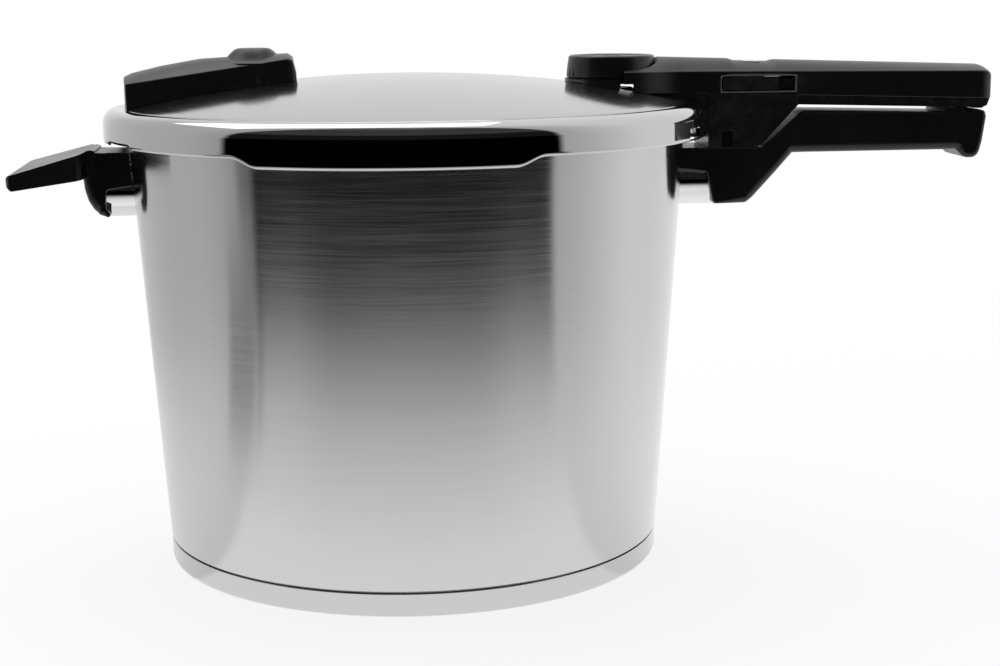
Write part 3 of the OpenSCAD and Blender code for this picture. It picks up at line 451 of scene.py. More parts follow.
class Look(Nodes):
    """A node material with a Principled shader."""

    def __init__(self, name, color=(0.5, 0.5, 0.5), rough=0.5, metal=0.0, **sockets):
        self.mat = bpy.data.materials.new(name)
        self.mat.use_nodes = True
        super().__init__(self.mat.node_tree)
        self.shader = self.tree.nodes["Principled BSDF"]
        self.put("Base Color", (*color, 1))
        self.put("Roughness", rough)
        self.put("Metallic", metal)
        for key, value in sockets.items():
            self.put(key.replace("_", " "), value)
        self.place = self.node("ShaderNodeTexCoord").outputs["Object"]

    def put(self, socket, value):
        self.feed(self.shader.inputs[socket], value)

    def noise(self, scale, detail=3.0, rough=0.55, vector=None, stretch=None):
        place = vector or self.place
        if stretch:
            place = self.vector("MULTIPLY", place, stretch)[0]
        values = {"Vector": place, "Scale": scale, "Detail": detail, "Roughness": rough}
        return self.node("ShaderNodeTexNoise", values).outputs[0]

    def spread(self, value, a, b):
        """The usual range of a noise, mapped to a..b."""
        return self.remap(value, 0.3, 0.7, a, b)

    def mix(self, factor, a, b):
        nd = self.node("ShaderNodeMix", data_type="RGBA")
        inputs = {socket.identifier: socket for socket in nd.inputs}
        self.feed(inputs["Factor_Float"], factor)
        for key, value in (("A_Color", a), ("B_Color", b)):
            self.feed(inputs[key], (*value, 1) if isinstance(value, tuple) else value)
        return [socket for socket in nd.outputs if socket.identifier == "Result_Color"][0]

    def bump(self, height, strength, distance):
        values = {"Strength": strength, "Distance": distance, "Height": height}
        self.put("Normal", self.node("ShaderNodeBump", values).outputs[0])

    def flat(self):
        return self.vector("MULTIPLY", self.place, (1, 1, 0))[0]

    def radius(self):
        return self.vector("LENGTH", self.flat())[1]

    def rings(self):
        """Coordinates that run with the direction slowly and with the radius fast, for turned steel."""
        around = self.vector("NORMALIZE", self.flat())[0]
        out = self.node("ShaderNodeCombineXYZ", {"Z": self.radius()}).outputs[0]
        return self.vector("ADD", self.vector("MULTIPLY", around, (0.02, 0.02, 0))[0], out)[0]

    def frame_highlight_mask(self, x0, x1, z0, z1, width=0.6):
        """1 on a narrow frame around a rectangle in the XZ plane, where a highlight is painted, 0 elsewhere."""
        place = self.split(self.place)
        past = []
        for value, a, b in ((place[0], x0, x1), (place[2], z0, z1)):
            off = self.math("ABSOLUTE", self.math("SUBTRACT", value, (a + b) / 2 * MM))
            past.append(self.math("SUBTRACT", off, (b - a) / 2 * MM))
        past = self.math("MAXIMUM", *past)
        inner = self.remap(past, -0.1 * MM, 0.05 * MM)
        outer = self.remap(past, (width - 0.1) * MM, (width + 0.1) * MM, 1.0, 0.0)
        return self.math("MULTIPLY", inner, outer)

    def worn(self):
        """1 on outside edges, 0 elsewhere, broken up by noise."""
        edge = self.node("ShaderNodeNewGeometry").outputs["Pointiness"]
        patches = self.remap(self.noise(160, 4), 0.35, 0.65, 0.2, 1.0)
        return self.math("MULTIPLY", self.remap(edge, 0.52, 0.62), patches)


def shade_of(color, factor):
    return tuple(c * factor for c in color)


def brushed_steel():
    s = Look("steel_brushed_body", metal=1.0, Anisotropic=0.9, Anisotropic_Rotation=0.25)
    s.put("Tangent", s.node("ShaderNodeTangent", direction_type="RADIAL", axis="Z").outputs[0])
    fine = s.noise(1, 3, 0.6, stretch=(26, 26, 2300))
    long = s.noise(1, 2, 0.5, stretch=(9, 9, 700))
    s.put("Base Color", s.mix(s.spread(fine, 0, 1), (0.638, 0.638, 0.643), (0.654, 0.654, 0.659)))
    brush = s.math("ADD", s.remap(fine, 0.36, 0.66, 0.134, 0.176), s.remap(long, 0.35, 0.65, -0.008, 0.012))
    s.put("Roughness", s.math("ADD", brush, s.spread(s.noise(14, 3), -0.008, 0.008)))
    s.bump(fine, 0.03, 0.00001)
    return s.mat


def polished_steel(name, color, rough, dome=None):
    """Polished steel. dome is (radius in mm, roughness, colour) of a satin part above the shoulder."""
    s = Look(name, color, rough, 1.0)
    hair = s.noise(1, 3, 0.6, stretch=(30, 30, 1800))
    level = s.math("ADD", s.spread(s.noise(22, 4), -0.012, 0.012), s.spread(hair, -0.006, 0.006))
    if dome:
        radius, satin, dome_color = dome
        inside = s.remap(s.radius(), (radius + 0.4) * MM, (radius - 0.4) * MM)
        above = s.remap(s.split(s.place)[2], (SHOULDER_Z - 1.2) * MM, (SHOULDER_Z - 0.4) * MM)
        mask = s.math("MULTIPLY", inside, above)
        ring = s.noise(1, 3, 0.55, vector=s.rings(), stretch=(30, 30, 900))
        more = s.math("ADD", s.spread(ring, -0.012, 0.012), satin - rough)
        base = s.math("ADD", s.math("MULTIPLY", mask, more), rough)
        s.put("Roughness", s.math("ADD", base, level))
        s.put("Base Color", s.mix(mask, color, s.mix(ring, dome_color, shade_of(dome_color, 1.02))))
        s.bump(s.math("MULTIPLY", ring, mask), 0.02, 0.00001)
    else:
        s.put("Roughness", s.math("ADD", level, rough))
        s.bump(hair, 0.02, 0.00002)
    return s.mat


def plain_steel(name, color=(0.55, 0.55, 0.56), rough=0.32):
    s = Look(name, color, rough, 1.0)
    grain = s.noise(400, 4)
    cloud = s.noise(60, 3)
    s.put("Roughness", s.math("ADD", s.spread(grain, -0.06, 0.06), s.spread(cloud, rough - 0.04, rough + 0.05)))
    s.put("Base Color", s.mix(cloud, shade_of(color, 0.9), shade_of(color, 1.08)))
    s.bump(grain, 0.08, 0.00003)
    return s.mat


def plastic(name, color=(0.0018, 0.0018, 0.0019), rough=0.29, grain=0.10, wear=(0.010, 0.010, 0.0105), rim=None):
    """Moulded plastic with worn edges. rim is a rectangle in the XZ plane whose narrow frame gets a painted highlight,
    a lighter colour.
    """
    s = Look(name, color, rough)
    fine = s.noise(1600, 5, 0.6)
    cloud = s.noise(35, 4)
    edge = s.worn()
    shade = s.mix(edge, s.mix(cloud, color, shade_of(color, 1.35)), wear)
    if rim:
        # painted highlight: the window's chamfer frame is coloured lighter, as where light catches it
        shade = s.mix(s.frame_highlight_mask(*rim), shade, (0.075, 0.075, 0.076))
    s.put("Base Color", shade)
    base = s.math("ADD", s.spread(cloud, rough - 0.03, rough + 0.03), s.spread(fine, -0.03, 0.03))
    s.put("Roughness", s.math("SUBTRACT", base, s.math("MULTIPLY", edge, 0.08)))
    s.bump(fine, grain, 0.00005)
    return s.mat


def rubber(name, color):
    s = Look(name, color, 0.62)
    fine = s.noise(900, 5, 0.65)
    s.put("Roughness", s.spread(fine, 0.55, 0.72))
    s.put("Base Color", s.mix(s.noise(40, 3), color, shade_of(color, 1.6)))
    s.bump(fine, 0.2, 0.00005)
    return s.mat


def clear_lens():
    s = Look("lens_clear", (0.82, 0.88, 0.84), 0.06, Transmission_Weight=1.0, IOR=1.49)
    s.put("Roughness", s.spread(s.noise(300, 3), 0.03, 0.10))
    return s.mat


STEEL_BODY = brushed_steel()
STEEL_LID = polished_steel("steel_lid", (0.64, 0.64, 0.645), 0.045, (CREASE_R - 0.2, 0.135, (0.52, 0.52, 0.525)))
STEEL_CAP = polished_steel("steel_base_cap", (0.62, 0.62, 0.625), 0.12)
STEEL_GUARD = polished_steel("steel_flame_guard", (0.82, 0.82, 0.82), 0.06)
STEEL_PLAIN = plain_steel("steel_plain")
ALUMINIUM = plain_steel("aluminium", (0.66, 0.67, 0.68), 0.4)
BLACK = plastic("plastic_black")
BLACK_TOP = plastic("plastic_black_cover", rough=0.31)
# the cover, with a painted highlight on the chamfer round its window
BLACK_COVER_HIGHLIT = plastic("plastic_black_cover_window_highlight", rough=0.31, rim=WINDOW)
BLACK_GRIP = plastic("plastic_black_grip", (0.002, 0.002, 0.0021), 0.33)
BLACK_SLIDER = plastic("plastic_black_slider", (0.002, 0.002, 0.0021), 0.24)
WHITE = plastic("plastic_white", (0.72, 0.72, 0.71), 0.35, 0.05, (0.8, 0.8, 0.79))
GREEN = plastic("plastic_green", (0.05, 0.34, 0.09), 0.35, 0.05, (0.1, 0.42, 0.15))
RUBBER = rubber("rubber_black", (0.035, 0.035, 0.037))
LENS = clear_lens()

# --- pot ----------------------------------------------------------------------------------------
def lug_gap(direction):
    """Angle from a direction to the middle of the nearest lug."""
    return min(abs(turn_between(direction, d)) for d in LUG_DIRS)


def pot_profile(direction):
    gap = lug_gap(direction)
    lug_half, drop_half = 25.6, 25.2
    lug = smooth((lug_half - gap) / 0.8)
    rim_r = RIM_FREE_R + (RIM_LUG_R - RIM_FREE_R) * lug
    drop = RIM_T + (RIM_LUG_DROP - RIM_T) * smooth((drop_half - gap) / 0.8)
    # outside, from the middle of the floor up the wall
    foot_in = FOOT_R - CAP_T - 2 * FIT
    foot_corner = FOOT_Z - FLOOR_Z
    disc_r = foot_in - foot_corner
    points = [(0.01, FLOOR_Z), (disc_r * 0.5, FLOOR_Z), (disc_r, FLOOR_Z)]
    points += arc(disc_r, FOOT_Z, foot_corner, -90, -4, 8)
    points += [(foot_in, FOOT_Z - 0.1), (FOOT_R - 0.3, FOOT_Z), (FOOT_R, FOOT_Z + 0.35)]
    top = RIM_Z - RIM_T - 0.9
    points += [(wall_at(FOOT_Z + (top - FOOT_Z) * k / 12), FOOT_Z + (top - FOOT_Z) * k / 12) for k in range(1, 13)]
    points += [(POT_R + 0.35, RIM_Z - RIM_T - 0.15), (POT_R + 0.9, RIM_Z - RIM_T)]
    # the rim, with its lug
    inner = rim_r - SHEET
    points += [(max(POT_R + 1.0, inner - 0.3), RIM_Z - RIM_T),
               (max(POT_R + 1.05, inner), RIM_Z - max(RIM_T, drop * 0.2)),
               (max(POT_R + 1.1, inner), RIM_Z - drop + 0.25 * lug), (inner + 0.3, RIM_Z - drop),
               (rim_r - 0.3, RIM_Z - drop), (rim_r, RIM_Z - drop + 0.3), (rim_r, RIM_Z - 1.0)]
    points += arc(rim_r - 1.0, RIM_Z - 1.0, 1.0, 20, 90, 4)
    # inside, down the wall to the middle of the floor
    mouth_r, mouth_z = POT_R - SHEET, RIM_Z - 0.4
    points += [(POT_R - 0.4, RIM_Z), (mouth_r + 0.15, RIM_Z - 0.1), (mouth_r, mouth_z)]
    z_low = FLOOR_Z + SHEET + BOWL_R
    r_low = FOOT_R - SHEET + 0.5
    points += [(r_low + (mouth_r - r_low) * k / 8, z_low + (mouth_z - z_low) * k / 8) for k in range(7, 0, -1)]
    points += arc(r_low - BOWL_R, z_low, BOWL_R, 0, -90, 8)
    points += [(60, FLOOR_Z + SHEET), (0.01, FLOOR_Z + SHEET)]
    return points


pot = revolve("pot_vessel", pot_profile, 720, LUG_DIRS[0])
finish_piece(pot, "pot", STEEL_BODY, "steel_satin", "pot_body")
soften(pot, 0)

cap_r = FOOT_R - FIT
cap_top = high("base_cap").z
cap_profile = [(0.01, 0), (90, 0)] + arc(cap_r - 3, 3, 3, -90, 0, 10)
cap_profile += [(cap_r, cap_top - 1.0)] + arc(cap_r - 0.3, cap_top - 0.3, 0.3, 0, 180, 6)
cap_profile += [(cap_r - CAP_T, 3.4)] + arc(cap_r - 3, 3, 3 - CAP_T, 0, -90, 6) + [(90, CAP_T), (0.01, CAP_T)]
cap = revolve("base_capsule", cap_profile, 360)
finish_piece(cap, "pot", STEEL_CAP, "steel_polished", "base_cap")
soften(cap, 0)

# --- lid ----------------------------------------------------------------------------------------
DOME_STEPS = [(CREASE_R - CREASE_HALF) * k / 24 for k in range(25)]


def lid_profile(direction):
    gap = lug_gap(direction)
    lobe_half, lug_half = 27.5, 22.0
    z = SKIRT_Z + (LOBE_Z - SKIRT_Z) * smooth((lobe_half - gap) / 5.5)
    z += NOTCH_H * smooth((NOTCH_HALF + 0.4 - abs(turn_between(direction, NOTCH_DIR))) / 1.2)
    lug = smooth((lug_half - gap) / 0.6)
    skirt_in = LID_R - SHEET
    r_in = skirt_in - (skirt_in - LID_LUG_R) * lug
    centre_r, centre_z = LID_R - SHOULDER_R, SHOULDER_Z - SHOULDER_R
    # outside, from the top of the dome to the skirt's lip
    points = [(max(r, 0.01), dome_at(r)) for r in DOME_STEPS]
    points += [(CREASE_R - 0.45, SHOULDER_Z - 0.18), (CREASE_R, SHOULDER_Z - 0.42),
               (CREASE_R + 0.5, SHOULDER_Z - 0.12), (CREASE_R + 1.2, SHOULDER_Z)]
    points += arc(centre_r, centre_z, SHOULDER_R, 88, 0, 20)
    points += [(LID_R, centre_z - 2.5), (LID_R, z + 3.0), (LID_R, z + LIP_H + 0.05)]
    for degrees in range(6, 90, 12):
        a = math.radians(degrees)
        points.append((LID_R - LIP_W + LIP_W * math.cos(a), z + LIP_H - LIP_H * math.sin(a)))
    # inside, past the lug and back to the top of the dome
    points += [(min(r_in + 0.3, LID_R - LIP_W - 0.02), z), (r_in, z + 0.35), (r_in, z + 0.85),
               (min(r_in + 0.5, skirt_in), z + SHEET), (skirt_in - 0.01 * lug, z + SHEET + 0.05), (skirt_in, centre_z)]
    points += arc(centre_r, centre_z, SHOULDER_R - SHEET, 10, 88, 8)
    points += [(CREASE_R + 1.2, SHOULDER_Z - SHEET), (CREASE_R, SHOULDER_Z - SHEET - 0.42)]
    points += [(max(r, 0.01), dome_at(r) - SHEET) for r in DOME_STEPS[::-2]]
    return points


lid = revolve("lid_sheet", lid_profile, 720, LUG_DIRS[0])
slot_z = SKIRT_Z + 0.8
slot = bar("slot", (CREASE_R, -SLOT_HALF, slot_z), (LID_R + 5, SLOT_HALF, slot_z + SLOT_H), 0.7, 4, "X")
boolean(lid, [turned(slot, SLOT_DIR), pin("seat_hole", KNOB_X, 0, SEAT_R - 0.6, RIM_Z, ABOVE)])
seat_z = dome_at(KNOB_X + SEAT_R)
seat = revolve("seat", [(VALVE_BORE_R, seat_z - SHEET), (SEAT_R, seat_z - SHEET), (SEAT_R, seat_z + 0.6),
                        (SEAT_R - 1.2, seat_z + 1.6), (SEAT_R - 1.2, seat_z), (VALVE_BORE_R, seat_z)],
               96, 0, (KNOB_X, 0))
boolean(lid, [seat], "UNION")
vent_hole = pin("vent_hole", VENT_X, 0, 3.4, RIM_Z, ABOVE, 32)
boolean(lid, [vent_hole] + screw_bores(HANDLE_SCREWS + GRIP_SCREWS, SCREW_HOLE_R, lambda x: ABOVE))
finish_piece(lid, "lid", STEEL_LID, "steel_polished", "lid_shell")
soften(lid, 0)

# --- flame guards -------------------------------------------------------------------------------
def guard(name, node, facing):
    """The sleeve round a bracket, modelled along +X and turned to its side."""
    a, b = low(node), high(node)
    end = b.x if facing > 0 else -a.x
    w, t = b.y, CAP_T
    ob = bar(name, (100, -w, a.z), (end, w, b.z), GUARD_CORNER, 12, "X")
    inner = bar("inner", (90, -w + t, a.z + t), (end + 5, w - t, b.z - t), GUARD_CORNER - t, 12, "X")
    boolean(ob, [inner, wall_cutter(0)])
    if facing < 0:
        turned(ob, 180)
    finish_piece(ob, "pot", STEEL_GUARD, "steel_polished", node)
    return soften(ob, 0.15, 50)


guard("main_guard_sleeve", "main_flame_guard", 1)
guard("helper_guard_sleeve", "helper_flame_guard", -1)

# --- plastic ------------------------------------------------------------------------------------
def narrowed(ob):
    """Lets the pot handle's width run from its root to its grip."""
    start, length = 175.5, 16.0
    bm = bmesh.new()
    bm.from_mesh(ob.data)
    for x in (start, start + length / 2, start + length):
        geom = bm.verts[:] + bm.edges[:] + bm.faces[:]
        bmesh.ops.bisect_plane(bm, geom=geom, plane_co=(x * MM, 0, 0), plane_no=(1, 0, 0), dist=1e-7)
    for v in bm.verts:
        share = smooth((v.co.x / MM - start) / length)
        v.co.y *= 1 - share * (ROOT_HALF_W - GRIP_HALF_W) / ROOT_HALF_W
    bm.to_mesh(ob.data)
    bm.free()


def make_pot_handle():
    e = POT_END
    top_gap = 1.5
    top_x0, top_x1 = 127.5, 168.95
    x1 = UNDER_X + 1.3
    tip_z = under_at(e) - 0.75
    pad, tip = e - 20.6, e - 6.6
    outline = [
        # the root, over the guard and down to its lower corner
        (wall_at(GUARD_Z) - 2.5, GUARD_Z + 18.4, 0, 0.5), (ROOT_X - 9.9, GUARD_Z + 17.5, 3, 0.5),
        (ROOT_X - 4.3, GUARD_Z + 16.4, 1.2, 0.8), (ROOT_X - 3.2, GUARD_Z + 13.7, 2, 0.9),
        (ROOT_X - 0.9, ROOT_Z + 1.2, 1, 1.2), (ROOT_X + 0.2, ROOT_Z, 1, 1.5),
        (ROOT_X + 15.4, ROOT_Z, 3.5, 4.2), (ROOT_X + 18.7, ROOT_Z + 2.1, 5, 4.2),
        # the underside of the grip and the hook at its end
        (ROOT_X + 38.6, GRIP_Z, 0.8, 4.2), (e - 14.6, GRIP_Z, 1.5, 4.2), (e - 13.2, GRIP_Z - 1.3, 1.5, 3.0),
        (e - 11.4, GRIP_Z - 3.3, 3, 2.6), (e - 9.2, GRIP_Z - 4, 3, 2.6), (e - 6, GRIP_Z - 4, 3, 2.6),
        (e - 3.9, GRIP_Z - 2.7, 3, 2.6), (e - 2.8, GRIP_Z - 0.4, 3, 2.6), (e - 1.7, GRIP_Z + 4, 8, 2.6),
        (e, tip_z - 3.2, 3, 2.4), (e - 1.3, tip_z - 0.7, 2, 1.4), (e - 4, tip_z, 1, 0.9),
        # the top, with its pads under the lid handle
        (tip, under_at(tip) - 0.75, 0, 0.8), (tip - 1.5, under_at(tip) - top_gap - 0.6, 0, 0.8),
        (pad + 9.7, under_at(pad + 8.5) - top_gap - 0.6, 0, 0.8), (pad + 8.5, under_at(pad + 8.5) - 0.35, 0, 0.4),
        (pad, under_at(pad) - 0.35, 0, 0.4), (pad - 1.2, under_at(pad) - top_gap - 0.9, 0, 1.2),
        (x1 + 3.0, under_at(x1) - top_gap - 1.2, 0, 2.2), (x1 + 0.6, under_at(x1) - top_gap - 1.9, 2, 2.2),
        (top_x1, ROOT_TOP_Z, 0.6, 1.6), (top_x0, ROOT_TOP_Z, 0, 0.5),
    ]
    ob = pillow("pot_grip", fillet(outline), ROOT_HALF_W, 6)
    narrowed(ob)
    w = 8 + FIT
    tongue = bar("tongue", (90, -w, TONGUE_Z - FIT), (SCREW_X + 5 + FIT, w, TONGUE_Z + 6 + FIT), 0, 1, "X")
    boolean(ob, [
        wall_cutter(), guard_pocket(GUARD_END), tongue,
        pin("shaft", SCREW_X, 0, 2 + FIT, ROOT_Z - 1, TONGUE_Z + 12, 48),
        pin("head", SCREW_X, 0, 4.65, ROOT_Z - 1, ROOT_Z + 5, 48),
        pin("bolt", BOLT_X, 0, 3.6, ROOT_TOP_Z - 5.55, ROOT_TOP_Z + 1.05, 48),
    ])
    finish_piece(ob, "pot", BLACK, "black_plastic", "pot_handle")
    return soften(ob, 0.25, 50)


make_pot_handle()


def dome_cutter():
    """All that lies under the lid's top face."""
    far_r, low_z = CREASE_R + 30, RIM_Z - 5
    profile = [(0.01, low_z)] + [(max(0.01, r), dome_at(r) + FIT) for r in DOME_STEPS]
    profile += [(CREASE_R, SHOULDER_Z - 0.3), (CREASE_R + 1.2, SHOULDER_Z + FIT), (far_r, SHOULDER_Z + FIT)]
    return revolve("under", profile + [(far_r, low_z)], 360)


def cover_ring(x, drop=0.0):
    """Section of the lid handle's cover. drop runs from 0 to 1 over its rounded end."""
    collar = (HOUSING_R + 2 - HANDLE_HALF_W) * (1 + math.cos(math.pi * min(1, max(0, (x - KNOB_X - 2) / 33)))) / 2
    dip = 0.9 * smooth((x - (LENS_X - 7.8)) / 4.2) * (1 - smooth((x - (LENS_X + 11.6)) / 4.2))
    w = HANDLE_HALF_W - 5.0 * drop + collar
    bottom = seam_at(x)
    crown, bevel = crown_at(x) - dip - 4.6 * drop ** 1.5, bevel_at(x) - 3.4 * drop ** 1.5
    half = [(w - 0.35, bottom), (w - 0.1, bottom + 0.1), (w, bottom + 0.4), (w, bevel - 2.0), (w, bevel - 0.55),
            (w - 0.09, bevel - 0.15), (w - 0.3, bevel + 0.14), (w - 0.62, bevel + 0.32)]
    start = bevel + 0.55
    for k in range(9):
        t = k / 8
        half.append(((w - 1.2) * (1 - t), (crown - 0.1 - start) * (1 - (1 - t) ** 1.75) + start))
    return mirrored(x, half)


def cover_cavity():
    """The room inside the cover, around the bosses of its screws."""
    w, roof = HANDLE_HALF_W - 2.6, 3.6
    rings = []
    for x in (128, 150, 200, HANDLE_END - 12):
        right = [(w, seam_at(x) - 1), (w, bevel_at(x) - roof), (5, crown_at(x) - roof)]
        rings.append([(x, -y, z) for y, z in right + [(-y, z) for y, z in right[::-1]]])
    return boolean(loft("cavity", rings), [pin("boss", x, y, 4, 200, ABOVE, 48) for x, y in COVER_SCREWS])


def window_frames():
    """Chamfers around the window on both sides of the cover."""
    x0, x1, z0, z1 = WINDOW
    cutters = []
    for side in (-1, 1):
        rings = []
        for y, grow in ((HANDLE_HALF_W - 0.55, 0.0), (HANDLE_HALF_W + 0.55, 1.1)):
            left, right, bottom, top = x0 - grow, x1 + grow, z0 - grow, z1 + grow
            corners = [(left, bottom), (right, bottom), (right, top), (left, top)]
            flat = fillet([(*c, WINDOW_CORNER + grow, 0) for c in corners], 5)
            rings.append([(q[0], side * y, q[1]) for q in flat])
        cutters.append(loft("window_frame", rings))
    return cutters


def make_cover():
    x0, end = KNOB_X + 2, HANDLE_END - 7
    stations = [x0 + 1.5 * k for k in range(24)] + [140, 147]
    stations += [LENS_X - 8.5 + k for k in range(26)] + [190, 205, 220, 240, 260, end]
    rings = [cover_ring(x) for x in stations]
    for k in range(1, 11):
        a = math.radians(9 * k)
        rings.append(cover_ring(end + 7 * math.sin(a), 1 - math.cos(a)))
    ob = loft("handle_cover", rings, 40)
    cavity = cover_cavity()
    wx0, wx1, wz0, wz1 = WINDOW
    window = bar("window", (wx0, -60, wz0), (wx1, 60, wz1), WINDOW_CORNER, 5, "Y")
    pocket = bar("lens_pocket", (LENS_X, -4, bevel_at(LENS_X) - 2), (LENS_X + 8, 4, CROWN_Z + 1), 0.3, 3, "Z")
    passage = turned(bar("passage", (-3.3, -60, RIM_Z), (3.3, 60, HOUSING_Z - 2.2), 0, 1, "Z"), -10)
    passage.data.transform(Matrix.Translation(Vector((KNOB_X + 7.5, 0, 0)) * MM))
    cuts = window_frames()
    cuts += [pin("knob_room", KNOB_X, 0, KNOB_R + 0.95, RIM_Z, CROWN_Z + 4, 128), cavity, window, pocket,
             pin("vent", VENT_X, 0, 6, RIM_Z, dome_at(VENT_X) + 8, 48)]
    cuts += screw_bores(HANDLE_SCREWS, SCREW_BORE_R, lambda x: SEAM_Z + 8.5)
    cuts += screw_bores(COVER_SCREWS, COVER_BORE_R, lambda x: seam_at(x) + 8.5)
    boolean(ob, cuts + [passage, dome_cutter()])
    finish_piece(ob, "lid", BLACK_COVER_HIGHLIT, "black_plastic", "lid_handle_cover")
    return soften(ob, 0.3, 50)


make_cover()


def make_knob():
    r, t = KNOB_R, KNOB_TOP
    dish_z = t - 0.7
    bore_r, pin_r = 4.58, 3.6
    room_r, room_low, room_high = 7.2, 229.9, 233.2     # room of the clip under the knob's top
    profile = [(bore_r, KNOB_Z), (r - 0.5, KNOB_Z), (r, KNOB_Z + 0.5), (r - 0.5, t - 4.5), (r - 0.85, t - 2.3)]
    profile += arc(r - 2.3, t - 1.35, 1.35, 0, 90, 8)
    profile += [(r - 3.4, t - 0.12), (r - 4.2, t - 0.5), (r - 5.2, dish_z), (14, dish_z - 0.05), (8, dish_z - 0.05),
                (6.0, dish_z), (5.2, t - 0.3), (4.7, t - 0.1), (3.8, t - 0.12), (pin_r, t - 0.35)]
    profile += [(pin_r, room_high), (room_r, room_high), (room_r, room_low), (bore_r, room_low)]
    ob = revolve("selector_knob", profile, 192, 0, (KNOB_X, 0))
    cuts = []
    reach = r + 0.45
    for k in range(-2, 3):
        a = math.radians(180 + 12 * k)
        x, y = KNOB_X + reach * math.cos(a), reach * math.sin(a)
        cuts.append(pin("notch", x, y, 0.95, KNOB_Z + 1, t + 1, 24))
    cuts.append(bar("mark", (KNOB_X - 16.2, -0.7, dish_z - 0.45), (KNOB_X - 9.5, 0.7, t + 1), 0.3, 3, "Z"))
    boolean(ob, cuts)
    finish_piece(ob, "selector", BLACK_TOP, "black_plastic", "pressure_selector")
    return soften(ob, 0.12, 50)


make_knob()


# Sections of the lid grip: (share of its length, inset of the foot, inset of the top, fall, crown)
LID_GRIP_ROWS = [
    (-0.01, -0.4, 3.0, 0.4, 2.7), (0.04, 0, 3.0, 0, 3.7), (0.21, 2, 4, 0, 5), (0.44, 4.6, 5.4, 0, 5.6),
    (0.72, 8, 8.4, 0, 3.7), (0.95, 10.6, 11.2, 0, 2.0), (0.98, 11.2, 12, 1.2, 1.3), (1.0, 12.2, 13.4, 8, 0.5),
]


def lid_grip_row(share):
    for a, b in zip(LID_GRIP_ROWS, LID_GRIP_ROWS[1:]):
        if share <= b[0]:
            t = (share - a[0]) / (b[0] - a[0])
            return [p + (q - p) * t for p, q in zip(a, b)]
    return LID_GRIP_ROWS[-1]


def make_lid_grip():
    half_w, rise = 25, 11.0
    out, inn = -(CREASE_R - 0.1), -52.0
    edge_z = SHOULDER_Z + 11.4
    base = SHOULDER_Z - 1.2
    rings = []
    shares = [-0.01, 0.01, 0.04] + [0.04 + 0.9 * k / 30 for k in range(1, 31)] + [0.95, 0.965, 0.98, 0.99, 1.0]
    for share in shares:
        _, foot_inset, top_inset, fall, crown = lid_grip_row(share)
        z = edge_z + rise * share - fall
        w0, w1 = half_w - foot_inset, half_w - top_inset
        half = [(w0, RIM_Z), (w0, base)]
        half += [(w0 + (w1 + 0.3 - w0) * t, base + (z - 1 - base) * t) for t in [k / 6 for k in range(1, 7)]]
        half += [(w1 + 0.12, z - 0.45), (w1 - 0.3, z - 0.08), (w1 - 0.9, z + 0.12)]
        for k in range(1, 9):
            t = k / 8
            half.append(((w1 - 0.9) * (1 - t), z + 0.12 + (crown - 0.12) * (1 - (1 - t) ** 2)))
        rings.append(mirrored(out + (inn - out) * share, half))
    ob = loft("lid_grip_shell", rings, 40)
    rest_x, top, foot_r = -72, edge_z + 15, 16.5
    mound = [(0.01, edge_z - 2), (foot_r, edge_z - 2)]
    mound += [(foot_r - 10 * k / 20, top - 6.6 * (1 + math.cos(math.pi * k / 20)) / 2) for k in range(21)]
    mound += [(5.4, top - 0.05), (4.2, top - 0.22), (2.6, top - 0.42), (0.01, top - 0.5)]
    boolean(ob, [revolve("rest", mound, 128, 0, (rest_x, 0))], "UNION")
    in_r, out_r, low_z, high_z = CREASE_R - 0.1, CREASE_R + 40, RIM_Z - 5, 260
    outside = revolve("outside", [(in_r, low_z), (out_r, low_z), (out_r, high_z), (in_r, high_z)], 360)
    boolean(ob, [dome_cutter(), outside] + screw_bores(GRIP_SCREWS, SCREW_BORE_R, lambda x: dome_at(x) + 7.5))
    finish_piece(ob, "lid", BLACK_GRIP, "black_plastic", "lid_grip")
    return soften(ob, 0.5, 45, 3)


make_lid_grip()


